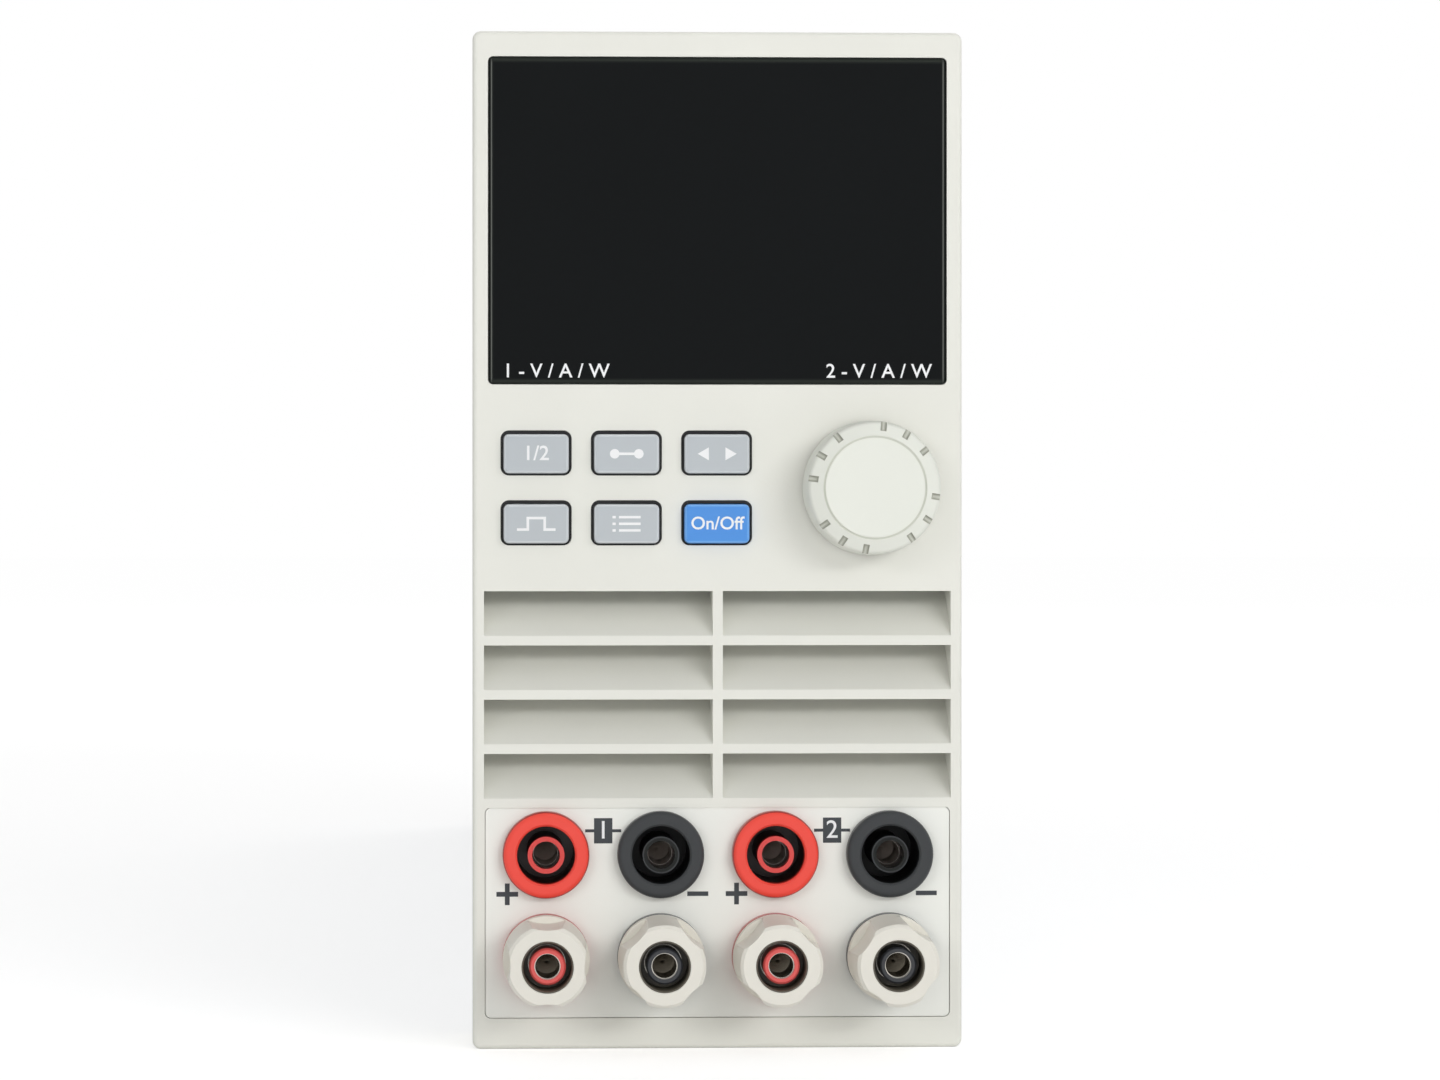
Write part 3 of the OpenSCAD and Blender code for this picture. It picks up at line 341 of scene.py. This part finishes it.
def knob_groove_shade():
    """Masks of painted shade on the knob's front: in the grip grooves, in four groups of three, and in the
    line round its face.

    A groove starts at a radius and runs outwards; the shade is painted darkest on its sides and at its
    inner end.
    """
    first_group = math.radians(GRIP_MIDDLE) - QUARTER_TURN / 2
    fade_from, side_from, floor_tone = 0.8, 0.75, 0.45
    end_reach, line_core = 1.2, 0.6
    group = Group(
        "knob_groove_shade",
        [("Vector", "Centre", (0, 0, 0)), ("Float", "Start", 0.009), ("Float", "Half width", 0.0005),
         ("Float", "Depth", 0.002), ("Float", "Line radius", 0.008), ("Float", "Line half width", 0.0002)],
        [("Float", "Grooves"), ("Float", "Line")])
    where = group.axes(group.from_centre())
    across, back, up = where["X"], where["Y"], where["Z"]
    radius = group.off_axis(across, up)
    front = group.math("LESS_THAN", back, group.given["Depth"])
    turn = group.math("SUBTRACT", group.math("ARCTAN2", up, across), first_group)
    from_middle = group.gap(group.math("FLOORED_MODULO", turn, QUARTER_TURN), QUARTER_TURN / 2)
    from_side = group.gap(from_middle, math.radians(GRIP_STEP))
    aside = group.math("MULTIPLY", radius, group.math("MINIMUM", from_middle, from_side))
    share = group.math("DIVIDE", aside, group.given["Half width"])
    outward = group.math("SUBTRACT", radius, group.given["Start"])
    groove = group.math("MULTIPLY", front, group.span(share, 1.0, 0.0, fade_from, 1.0))
    groove = group.math("MULTIPLY", groove, group.math("GREATER_THAN", outward, 0.0))
    end = group.span(group.math("DIVIDE", outward, group.given["Half width"]), 1.0, 0.0, 0.0, end_reach)
    tone = group.math("MAXIMUM", group.span(share, floor_tone, 1.0, 0.0, side_from), end)
    group.link(group.math("MULTIPLY", groove, tone), group.made["Grooves"])
    off_line = group.gap(radius, group.given["Line radius"])
    off_line = group.math("DIVIDE", off_line, group.given["Line half width"])
    line = group.span(off_line, 1.0, 0.0, line_core, 1.0)
    group.link(group.math("MULTIPLY", front, line), group.made["Line"])
    return group.tree


def face_edge():
    """Masks of a thin line that runs round an upright face, a little inside its edge, where a highlight is
    painted.
    """
    group = Group(
        "face_edge",
        [("Vector", "Centre", (0, 0, 0)), ("Vector", "Half size", (0.04, 0, 0.04)),
         ("Float", "Inset", 0.0005), ("Float", "Reach", 0.0002)],
        [("Float", "Sides"), ("Float", "Ends")])
    size = group.add("ShaderNodeVectorMath", operation="ABSOLUTE")
    group.link(group.from_centre(), size.inputs[0])
    inside = group.add("ShaderNodeVectorMath", operation="SUBTRACT")
    group.link(group.given["Half size"], inside.inputs[0])
    group.link(size.outputs["Vector"], inside.inputs[1])
    from_edge = group.axes(inside.outputs["Vector"])
    twice = group.math("MULTIPLY", group.given["Inset"], 2.0)
    for socket, own, other in (("Sides", "X", "Z"), ("Ends", "Z", "X")):
        off_line = group.gap(from_edge[own], group.given["Inset"])
        line = group.span(group.math("DIVIDE", off_line, group.given["Reach"]), 1.0, 0.0, 0.0, 1.0)
        clear = group.span(group.math("DIVIDE", from_edge[other], twice), 0.0, 1.0, 0.0, 1.0)
        group.link(group.math("MULTIPLY", line, clear), group.made[socket])
    return group.tree


SKIN = moulded_skin()
SPANGLE = zinc_spangle()
PLATE = plated_metal()
BORE = terminal_bore()
EDGE = face_edge()
KNOB = knob_groove_shade()


# Finishes

def placed(material, group, inputs):
    """Puts a shader group into a finish with its own values, and gives the group's outputs."""
    effect = material.node_tree.nodes.new("ShaderNodeGroup")
    effect.node_tree = group
    for socket, value in inputs.items():
        effect.inputs[socket].default_value = value
    return effect.outputs


def finish(name, group, inputs, metallic=0.0, specular=0.5):
    """A material whose colour, roughness and normal come from one shader group."""
    material = bpy.data.materials.new(name)
    material.use_nodes = True
    shader = material.node_tree.nodes["Principled BSDF"]
    shader.inputs["Metallic"].default_value = metallic
    shader.inputs["Specular IOR Level"].default_value = specular
    effect = placed(material, group, inputs)
    for made, socket in (("Colour", "Base Color"), ("Roughness", "Roughness"), ("Normal", "Normal")):
        material.node_tree.links.new(effect[made], shader.inputs[socket])
    return material


def plastic(name, colour, cloud=0.015, scale=2600, depth=6e-6, low=0.42, high=0.52, specular=0.5):
    """Moulded plastic; scale and depth are its grain's, low and high the ends of its roughness."""
    inputs = {"Colour": colour, "Cloud": cloud, "Grain scale": scale, "Grain depth": depth,
              "Gloss low": low, "Gloss high": high}
    return finish(name, SKIN, inputs, specular=specular)


def metal(name, colour, low, high):
    """Plated or bare metal; low and high are the ends of its roughness."""
    return finish(name, PLATE, {"Colour": colour, "Gloss low": low, "Gloss high": high}, metallic=1.0)


def tint(material, mask, colour):
    """Mixes a colour into a finish where a mask says."""
    nodes, links = material.node_tree.nodes, material.node_tree.links
    base = nodes["Principled BSDF"].inputs["Base Color"]
    mix = nodes.new("ShaderNodeMix")
    mix.data_type = "RGBA"
    links.new(mask, mix.inputs["Factor"])
    links.new(base.links[0].from_socket, mix.inputs["A"])
    mix.inputs["B"].default_value = colour
    links.new(mix.outputs["Result"], base)


def painted_bore_shade(material, row_z, radius, mouth, full_depth, deep):
    """Paints shade inside the bores of one row of terminals: the finish goes down to a deep colour."""
    masks = placed(material, BORE, {"Pitch": column_pitch, "Height": row_z, "Radius": radius,
                                    "Mouth": face_y + mouth, "Full depth": full_depth})
    tint(material, masks["Inside"], deep)


def painted_flank_shade(material, row_z, radius, side):
    """Paints shade on the outward sides of a row of terminals: a deeper colour than their faces."""
    masks = placed(material, BORE, {"Pitch": column_pitch, "Height": row_z, "Radius": radius})
    tint(material, masks["Outside"], side)


def painted_edge_highlights(material, node, line, sides, ends):
    """Paints highlights as paler lines along the edges of a node's front face: sides and ends are their
    colours.
    """
    low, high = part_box(node)
    inset, reach = line
    masks = placed(material, EDGE, {"Centre": middle(node), "Half size": (high - low) / 2,
                                    "Inset": inset, "Reach": reach})
    tint(material, masks["Ends"], ends)
    tint(material, masks["Sides"], sides)


NICKEL = srgb(205, 201, 192)
RED_SKIN = {"scale": 1800, "depth": 3e-6, "low": 0.28, "high": 0.36}
BLACK_SKIN = {"scale": 1800, "depth": 3e-6, "low": 0.28, "high": 0.38}

# Finishes by material slot
FINISHES = {
    "bezel_plastic": plastic("panel_grain", srgb(232, 232, 224), depth=9e-6),
    "terminal_plastic": plastic("terminal_grain", srgb(241, 242, 236), scale=3200, depth=5e-6),
    "window_gloss": plastic("smoked_pane", srgb(20, 22, 23), cloud=0.03, scale=400, depth=2e-7,
                            low=0.05, high=0.09, specular=0.06),
    "display_frame": plastic("display_frame", srgb(52, 53, 56)),
    "black_rubber": plastic("keypad_rubber", srgb(30, 30, 31), low=0.6, high=0.75),
    "key_blue": plastic("blue_key", srgb(74, 144, 222), low=0.34, high=0.42),
    "board_laminate": plastic("solder_mask", srgb(20, 92, 52), low=0.25, high=0.35),
    "board_laminate_plain": plastic("bare_laminate", srgb(188, 178, 140), low=0.5, high=0.6),
    "zinc_plate": metal("zinc_screws", srgb(196, 199, 202), low=0.25, high=0.4),
    "nickel_plate": metal("nickel_parts", NICKEL, low=0.12, high=0.25),
    "knob_plastic": plastic("knob_skin", srgb(231, 233, 224), depth=5e-6, low=0.38, high=0.46),
    "cap_plastic": plastic("cap_skin", srgb(231, 228, 218), depth=5e-6, low=0.36, high=0.46),
    "black_plastic": plastic("black_insulator", srgb(46, 48, 52), **BLACK_SKIN),
    "bare_copper": metal("bus_copper", srgb(214, 140, 100), low=0.25, high=0.45),
    "sheet_steel": finish("zinc_sheet", SPANGLE, {"Colour": srgb(188, 191, 193)}, metallic=0.85),
    "fan_plastic": plastic("fan_black", srgb(38, 38, 40), scale=1500, depth=6e-6, low=0.4, high=0.5),
    "bare_aluminium": metal("sink_aluminium", srgb(212, 213, 214), low=0.3, high=0.45),
    "capacitor_sleeve": plastic("capacitor_sleeve", srgb(30, 38, 66), low=0.25, high=0.35),
    "cable_grey": plastic("cable_grey", srgb(160, 162, 166), low=0.45, high=0.55),
}
WHITE_INK = plastic("white_ink", srgb(240, 241, 242), low=0.45, high=0.6)
DARK_INK = plastic("dark_ink", srgb(56, 60, 64), low=0.45, high=0.6)
# Bushes in the caps' bores, dark to stand for the shade deep in the bores
BUSH_SHADE = plastic("cap_bush", srgb(92, 87, 76), scale=1500, depth=4e-6, low=0.34, high=0.46)

# Terminals: painted shade, dark inside their sockets, and on their sides, which are deeper in colour than
# their faces
red_jack = plastic("red_jack", srgb(240, 70, 56), **RED_SKIN)
painted_flank_shade(red_jack, jack_z, flange_r - JACK_FACE_MARGIN, srgb(168, 40, 32))
painted_bore_shade(red_jack, jack_z, RED_SLEEVE_R, SLEEVE_MOUTH, SLEEVE_DEPTH, srgb(212, 64, 60))
painted_bore_shade(red_jack, jack_z, RING_R, RING_MOUTH, RING_DEPTH, srgb(52, 24, 20))
black_jack = plastic("black_jack", srgb(63, 65, 67), **BLACK_SKIN, specular=0.2)
painted_bore_shade(black_jack, jack_z, BLACK_SLEEVE_R, SLEEVE_MOUTH, SLEEVE_DEPTH, srgb(25, 27, 26))
painted_bore_shade(black_jack, jack_z, RING_R, RING_MOUTH, RING_DEPTH, srgb(22, 23, 25))
red_collar = plastic("red_collar", srgb(226, 90, 86), **RED_SKIN)
# Painted shade on the sides of the post collars
painted_flank_shade(red_collar, post_z, flange_r - COLLAR_FACE_MARGIN, srgb(186, 74, 70))
jack_nickel = metal("jack_nickel", NICKEL, low=0.3, high=0.45)
painted_bore_shade(jack_nickel, jack_z, CONTACT_RIM_R, CONTACT_MOUTH, CONTACT_DEPTH, srgb(62, 57, 54))
painted_bore_shade(jack_nickel, jack_z, CONTACT_BORE_R, CONTACT_MOUTH, CONTACT_DEPTH, srgb(188, 181, 175))
stud_nickel = metal("stud_nickel", NICKEL, low=0.14, high=0.28)
painted_bore_shade(stud_nickel, post_z, STUD_BORE_R, STUD_MOUTH, STUD_DEPTH, srgb(138, 134, 126))

# Finishes of single nodes, which come before those of their slots
NODE_FINISHES = {"jack_shrouds_red": red_jack, "jack_shrouds_black": black_jack,
                 "post_insulators_red": red_collar, "jack_contacts": jack_nickel, "post_studs": stud_nickel}

# Painted shade in the grip grooves of the knob and in the line round its face
knob_skin = FINISHES["knob_plastic"]
knob_middle = middle("control_knob")
knob_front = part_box("control_knob")[0].y
marks = placed(knob_skin, KNOB, {
    "Centre": (knob_middle.x, knob_front, knob_middle.z), "Start": GRIP_START, "Half width": GRIP_HALF_W,
    "Depth": GRIP_DEPTH, "Line radius": FACE_LINE_R, "Line half width": FACE_LINE_HALF_W})
tint(knob_skin, marks["Grooves"], srgb(160, 161, 148))
tint(knob_skin, marks["Line"], srgb(206, 208, 197))

# Painted highlights on edges that catch the light: the pane's bevel and the rounded keys
pane = FINISHES["window_gloss"]
painted_edge_highlights(pane, "display_window", PANE_BEVEL, sides=srgb(34, 37, 35), ends=srgb(48, 52, 48))
painted_edge_highlights(pane, "display_window", PANE_GLINT, sides=srgb(112, 114, 110), ends=srgb(48, 52, 48))
painted_edge_highlights(FINISHES["key_blue"], "key_input", KEY_LINE, sides=srgb(110, 172, 238), ends=srgb(118, 178, 240))
for node in GREY_KEYS:
    NODE_FINISHES[node] = plastic("grey_" + node, srgb(186, 192, 196), low=0.36, high=0.44)
    painted_edge_highlights(NODE_FINISHES[node], node, KEY_LINE, sides=srgb(205, 210, 214), ends=srgb(212, 216, 219))

for node, solid in frame["nodes"].items():
    solid.data.materials.clear()
    solid.data.materials.append(NODE_FINISHES.get(node) or FINISHES[slot_of[node]])


# New pieces

def piece(name, shape, material, body):
    """Makes a finished piece of a bmesh that is already in place."""
    bmesh.ops.remove_doubles(shape, verts=shape.verts, dist=1e-7)
    bmesh.ops.recalc_face_normals(shape, faces=shape.faces)
    mesh = bpy.data.meshes.new(name)
    shape.to_mesh(mesh)
    shape.free()
    made = bpy.data.objects.new(name, mesh)
    bpy.context.scene.collection.objects.link(made)
    mesh.materials.append(material)
    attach(made, body)
    return made


def cap_bush(number):
    """Bush in a cap's bore, whose dark colour stands in for the shade deep in the bore: a thin wall and a
    floor in front of the stud's shoulder.
    """
    outer, inner, hole = 4.2 * MM, 3.95 * MM, 3.1 * MM
    lip, floor, rear = 0.1 * MM, 6.75 * MM, 7.05 * MM
    chamfer_r, chamfer_depth = 0.08 * MM, 0.12 * MM
    steps, sharp = 64, math.radians(35)
    profile = ((outer, lip), (inner + chamfer_r, lip), (inner, lip + chamfer_depth), (inner, floor),
               (hole, floor), (hole, rear), (outer, rear))
    low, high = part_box(f"post_cap_{number}")
    x, z = (low.x + high.x) / 2, (low.z + high.z) / 2
    shape = bmesh.new()
    points = [shape.verts.new((x + radius, low.y + depth, z)) for radius, depth in profile]
    edges = [shape.edges.new((points[k - 1], points[k])) for k in range(len(points))]
    bmesh.ops.spin(shape, geom=points + edges, cent=(x, 0, z), axis=(0, 1, 0), angle=2 * math.pi,
                   steps=steps, use_merge=True)
    made = piece(f"cap_bush_{number}", shape, BUSH_SHADE, f"post_cap_{number}_nut")
    made.data.shade_smooth()
    made.data.set_sharp_from_angle(angle=sharp)


for number in POSTS:
    cap_bush(number)


# Printed signs, whose outlines are lists of (x, z) on the face at y

def inked(shape, outline, y):
    """A printed area."""
    flat = shape.faces.new([shape.verts.new((x, y, z)) for x, z in outline])
    raised = bmesh.ops.extrude_face_region(shape, geom=[flat])["geom"]
    front = [part for part in raised if isinstance(part, bmesh.types.BMVert)]
    bmesh.ops.translate(shape, verts=front, vec=(0, -INK_PROUD, 0))


def bar(shape, x, z, y, size):
    """A printed bar of a width and height, centred on x and z."""
    half_w, half_h = size[0] / 2, size[1] / 2
    inked(shape, [(x + side * half_w, z + level * half_h)
                  for side, level in ((-1, -1), (1, -1), (1, 1), (-1, 1))], y)


def crossed_bars(shape, x, z, y, level, upright):
    """A level and an upright printed bar, each given as (width, height), in one outline."""
    reach, line = level[0] / 2, level[1] / 2
    half, top = upright[0] / 2, upright[1] / 2
    corner = [(reach, line), (half, line), (half, top)]
    outline = []
    for side, end in ((1, 1), (-1, 1), (-1, -1), (1, -1)):
        run = corner if side == end else corner[::-1]
        outline += [(x + side * across, z + end * up) for across, up in run]
    inked(shape, outline, y)


def arrow(shape, x, z, y, size, direction):
    """A solid printed arrow head that points left or right."""
    turn = Matrix.Rotation(QUARTER_TURN, 4, "X") @ Matrix.Rotation(QUARTER_TURN * direction, 4, "Z")
    where = Matrix.Translation((x, y - INK_PROUD / 2, z)) @ turn
    bmesh.ops.create_cone(shape, cap_ends=True, segments=3, radius1=size, radius2=size,
                          depth=INK_PROUD, matrix=where)


def letters(shape, text, x, z, y, height, weight, align="CENTER"):
    """Plain lettering."""
    curve = bpy.data.curves.new("lettering", "FONT")
    curve.body = text
    curve.size = height
    curve.align_x = align
    curve.align_y = "CENTER"
    curve.offset = weight * height
    curve.extrude = INK_PROUD / 2
    curve.resolution_u = 4
    holder = bpy.data.objects.new("lettering", curve)
    flat = bpy.data.meshes.new_from_object(holder)
    flat.transform(Matrix.Translation((x, y - INK_PROUD / 2, z)) @ Matrix.Rotation(QUARTER_TURN, 4, "X"))
    shape.from_mesh(flat)
    bpy.data.objects.remove(holder)
    bpy.data.curves.remove(curve)
    bpy.data.meshes.remove(flat)


def channel_sign(shape, x, z, y):
    """The numbers of the two channels."""
    letters(shape, "1/2", x, z, y, height=3.4 * MM, weight=BOLD)


def short_sign(shape, x, z, y):
    """Two terminals with a link straight across."""
    reach, radius, half_line, steps = 2.0 * MM, 0.8 * MM, 0.22 * MM, 20
    opening = math.pi - math.asin(half_line / radius)
    outline = []
    for side, ahead in ((1, 0.0), (-1, math.pi)):
        for k in range(steps + 1):
            turn = ahead + opening * (2 * k / steps - 1)
            outline.append((x + side * reach + radius * math.cos(turn), z + radius * math.sin(turn)))
    inked(shape, outline, y)


def cursor_sign(shape, x, z, y):
    """Two arrow heads that point apart."""
    reach, size = 2.0 * MM, 1.25 * MM
    for side in (-1, 1):
        arrow(shape, x + side * reach, z, y, size, -side)


def pulse_sign(shape, x, z, y):
    """A square pulse."""
    end, leg, rise, half = 3.2 * MM, 1.4 * MM, 0.95 * MM, 0.22 * MM
    right = [(end, -rise - half), (end, half - rise), (leg + half, half - rise), (leg + half, rise + half)]
    left = [(-across, up) for across, up in reversed(right)]
    inner = [(half - leg, -rise - half), (half - leg, rise - half), (leg - half, rise - half),
             (leg - half, -rise - half)]
    inked(shape, [(x + across, z + up) for across, up in right + left + inner], y)


def mode_sign(shape, x, z, y):
    """A list of three lines, each with a dot before it."""
    step = 1.1 * MM
    line_x, line = 0.5 * MM, (3.6 * MM, 0.42 * MM)
    dot_x, dot = -2.1 * MM, (0.55 * MM, 0.42 * MM)
    for row in (-1, 0, 1):
        bar(shape, x + line_x, z + row * step, y, line)
        bar(shape, x + dot_x, z + row * step, y, dot)


def input_sign(shape, x, z, y):
    """The words of the switch."""
    letters(shape, "On/Off", x, z, y, height=3.0 * MM, weight=BOLD)


def key_sign(node, draw):
    """A sign printed on a key's face, which moves with the key."""
    low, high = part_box(node)
    shape = bmesh.new()
    draw(shape, (low.x + high.x) / 2, (low.z + high.z) / 2, low.y)
    piece("sign_" + node, shape, WHITE_INK, node + "_cap")


def window_sign():
    """Channel numbers and units along the pane's lower edge."""
    inset, rise, height = 2.4 * MM, 2.1 * MM, 3.3 * MM
    y, z = window_low.y, window_low.z + rise
    shape = bmesh.new()
    letters(shape, "1 - V / A / W", window_low.x + inset, z, y, height, MEDIUM, "LEFT")
    letters(shape, "2 - V / A / W", window_high.x - inset, z, y, height, MEDIUM, "RIGHT")
    piece("sign_window", shape, WHITE_INK, MODULE)


def terminal_signs():
    """Polarity signs, a tag for each channel and the lines from the tag to its jacks."""
    sign_drop, plus_aside, minus_aside = 6.6 * MM, 6.4 * MM, 6.2 * MM
    plus, minus = (3.6 * MM, 0.8 * MM), (3.5 * MM, 0.75 * MM)
    tag_rise, tag_line, tag = 3.9 * MM, (6.0 * MM, 0.5 * MM), (3.05 * MM, 4.2 * MM)
    sign_z, tag_z = jack_z - sign_drop, jack_z + tag_rise
    dark, pale = bmesh.new(), bmesh.new()
    for channel in (0, 1):
        red_x = (2 * channel - 1.5) * column_pitch
        black_x = red_x + column_pitch
        tag_x = (red_x + black_x) / 2
        crossed_bars(dark, red_x - plus_aside, sign_z, terminal_y, plus, plus[::-1])
        bar(dark, black_x + minus_aside, sign_z, terminal_y, minus)
        crossed_bars(dark, tag_x, tag_z, terminal_y, tag_line, tag)
        letters(pale, str(channel + 1), tag_x, tag_z, terminal_y - INK_PROUD, height=tag[1], weight=LIGHT)
    piece("sign_terminals", dark, DARK_INK, MODULE)
    piece("sign_channel_numbers", pale, WHITE_INK, MODULE)


for node, draw in (("key_channel", channel_sign), ("key_short", short_sign), ("key_cursor", cursor_sign),
                   ("key_pulse", pulse_sign), ("key_mode", mode_sign), ("key_input", input_sign)):
    key_sign(node, draw)
window_sign()
terminal_signs()


# Studio

def background_ray(nodes, links):
    """One for what the camera sees straight, in a reflection or through glass, and nought for light."""
    path = nodes.new("ShaderNodeLightPath")
    seen = path.outputs["Is Camera Ray"]
    for kind in ("Is Glossy Ray", "Is Transmission Ray"):
        either = nodes.new("ShaderNodeMath")
        either.operation = "MAXIMUM"
        links.new(seen, either.inputs[0])
        links.new(path.outputs[kind], either.inputs[1])
        seen = either.outputs["Value"]
    return seen


def studio_floor():
    """Pale floor that keeps the shadow: to the eye it adds white, less near the lamps than far off."""
    reach = 6.0
    near, far = 0.6, 2.0
    near_white, far_white = 0.46, 0.58
    pale = (0.9, 0.9, 0.9, 1)
    shape = bmesh.new()
    bmesh.ops.create_grid(shape, x_segments=1, y_segments=1, size=reach)
    mesh = bpy.data.meshes.new("studio_floor")
    shape.to_mesh(mesh)
    shape.free()
    floor = bpy.data.objects.new("studio_floor", mesh)
    bpy.context.scene.collection.objects.link(floor)
    material = bpy.data.materials.new("pale_floor")
    material.use_nodes = True
    nodes, links = material.node_tree.nodes, material.node_tree.links
    shader = nodes["Principled BSDF"]
    shader.inputs["Base Color"].default_value = pale
    shader.inputs["Roughness"].default_value = 1.0
    shader.inputs["Specular IOR Level"].default_value = 0.0
    shader.inputs["Emission Color"].default_value = (1, 1, 1, 1)
    place = nodes.new("ShaderNodeTexCoord")
    away = nodes.new("ShaderNodeVectorMath")
    away.operation = "LENGTH"
    links.new(place.outputs["Object"], away.inputs[0])
    white = nodes.new("ShaderNodeMapRange")
    links.new(away.outputs["Value"], white.inputs["Value"])
    for socket, value in (("From Min", near), ("From Max", far),
                          ("To Min", near_white), ("To Max", far_white)):
        white.inputs[socket].default_value = value
    added = nodes.new("ShaderNodeMath")
    added.operation = "MULTIPLY"
    links.new(background_ray(nodes, links), added.inputs[0])
    links.new(white.outputs["Result"], added.inputs[1])
    links.new(added.outputs["Value"], shader.inputs["Emission Strength"])
    mesh.materials.append(material)


def studio_world():
    """White to the camera, to reflections and through glass; a soft grey fill otherwise."""
    fill, white = 0.46, 1.0
    world = bpy.data.worlds.new("studio_world")
    bpy.context.scene.world = world
    world.use_nodes = True
    nodes, links = world.node_tree.nodes, world.node_tree.links
    strength = nodes.new("ShaderNodeMapRange")
    strength.inputs["To Min"].default_value = fill
    strength.inputs["To Max"].default_value = white
    links.new(background_ray(nodes, links), strength.inputs["Value"])
    sky = nodes["Background"]
    sky.inputs["Color"].default_value = (1, 1, 1, 1)
    links.new(strength.outputs["Result"], sky.inputs["Strength"])


def softbox(name, place, aim, size, watts, glare=True):
    """A lamp with a broad face; without glare, it lights surfaces but isn't mirrored in them."""
    lamp = bpy.data.lights.new(name, "AREA")
    lamp.shape = "RECTANGLE"
    lamp.size, lamp.size_y = size
    lamp.energy = watts
    holder = bpy.data.objects.new(name, lamp)
    holder.location = place
    holder.visible_glossy = glare
    holder.rotation_mode = "QUATERNION"
    holder.rotation_quaternion = (Vector(aim) - Vector(place)).to_track_quat("-Z", "Y")
    bpy.context.scene.collection.objects.link(holder)


def studio_lamps():
    """A high key lamp, low cards that lift the front, and a broad lamp behind."""
    front_y, back_y = face_y - 0.8, face_y + 1.3
    card_aside, card_z, card_size = 0.45, 0.33, (0.5, 0.16)
    card_aim, panel_aim = (0, face_y, 0.07), (0, face_y, panel_mid_z)
    softbox("key_softbox", place=(0.45, front_y, 0.95), aim=panel_aim, size=(0.8, 0.8), watts=0.8)
    softbox("right_card", place=(card_aside, front_y, card_z), aim=card_aim, size=card_size, watts=2.3,
            glare=False)
    softbox("left_card", place=(-card_aside, front_y, card_z), aim=card_aim, size=card_size, watts=1.0,
            glare=False)
    softbox("low_card", place=(0.1, front_y, 0.06), aim=(0, face_y, 0.02), size=(0.6, 0.1), watts=0.68,
            glare=False)
    softbox("back_softbox", place=(0.2, back_y, 1.5), aim=(0, 0, 0.1), size=(1.2, 1.2), watts=4)


def studio_camera():
    """The photograph's view; the lens is shifted so that the panel's middle falls on its pixel."""
    lens = bpy.data.cameras.new("studio_camera")
    lens.sensor_width = SENSOR
    lens.lens = LENS
    lens.clip_start = 0.05
    lens.clip_end = 50
    holder = bpy.data.objects.new("studio_camera", lens)
    holder.location = (CAMERA_X, face_y - CAMERA_DISTANCE, CAMERA_Z)
    ahead = Vector((AXIS_X, face_y, CAMERA_Z)) - holder.location
    holder.rotation_mode = "QUATERNION"
    holder.rotation_quaternion = ahead.to_track_quat("-Z", "Y")
    pixels_per_metre = LENS / SENSOR * IMAGE_W / CAMERA_DISTANCE
    across = -AXIS_X * pixels_per_metre - (PANEL_PIXEL[0] - IMAGE_W / 2)
    up = (panel_mid_z - CAMERA_Z) * pixels_per_metre + (PANEL_PIXEL[1] - IMAGE_H / 2)
    lens.shift_x = across / IMAGE_W
    lens.shift_y = up / IMAGE_W
    bpy.context.scene.collection.objects.link(holder)
    bpy.context.scene.camera = holder


studio_floor()
studio_world()
studio_lamps()
studio_camera()
bpy.context.scene.view_settings.view_transform = "Standard"
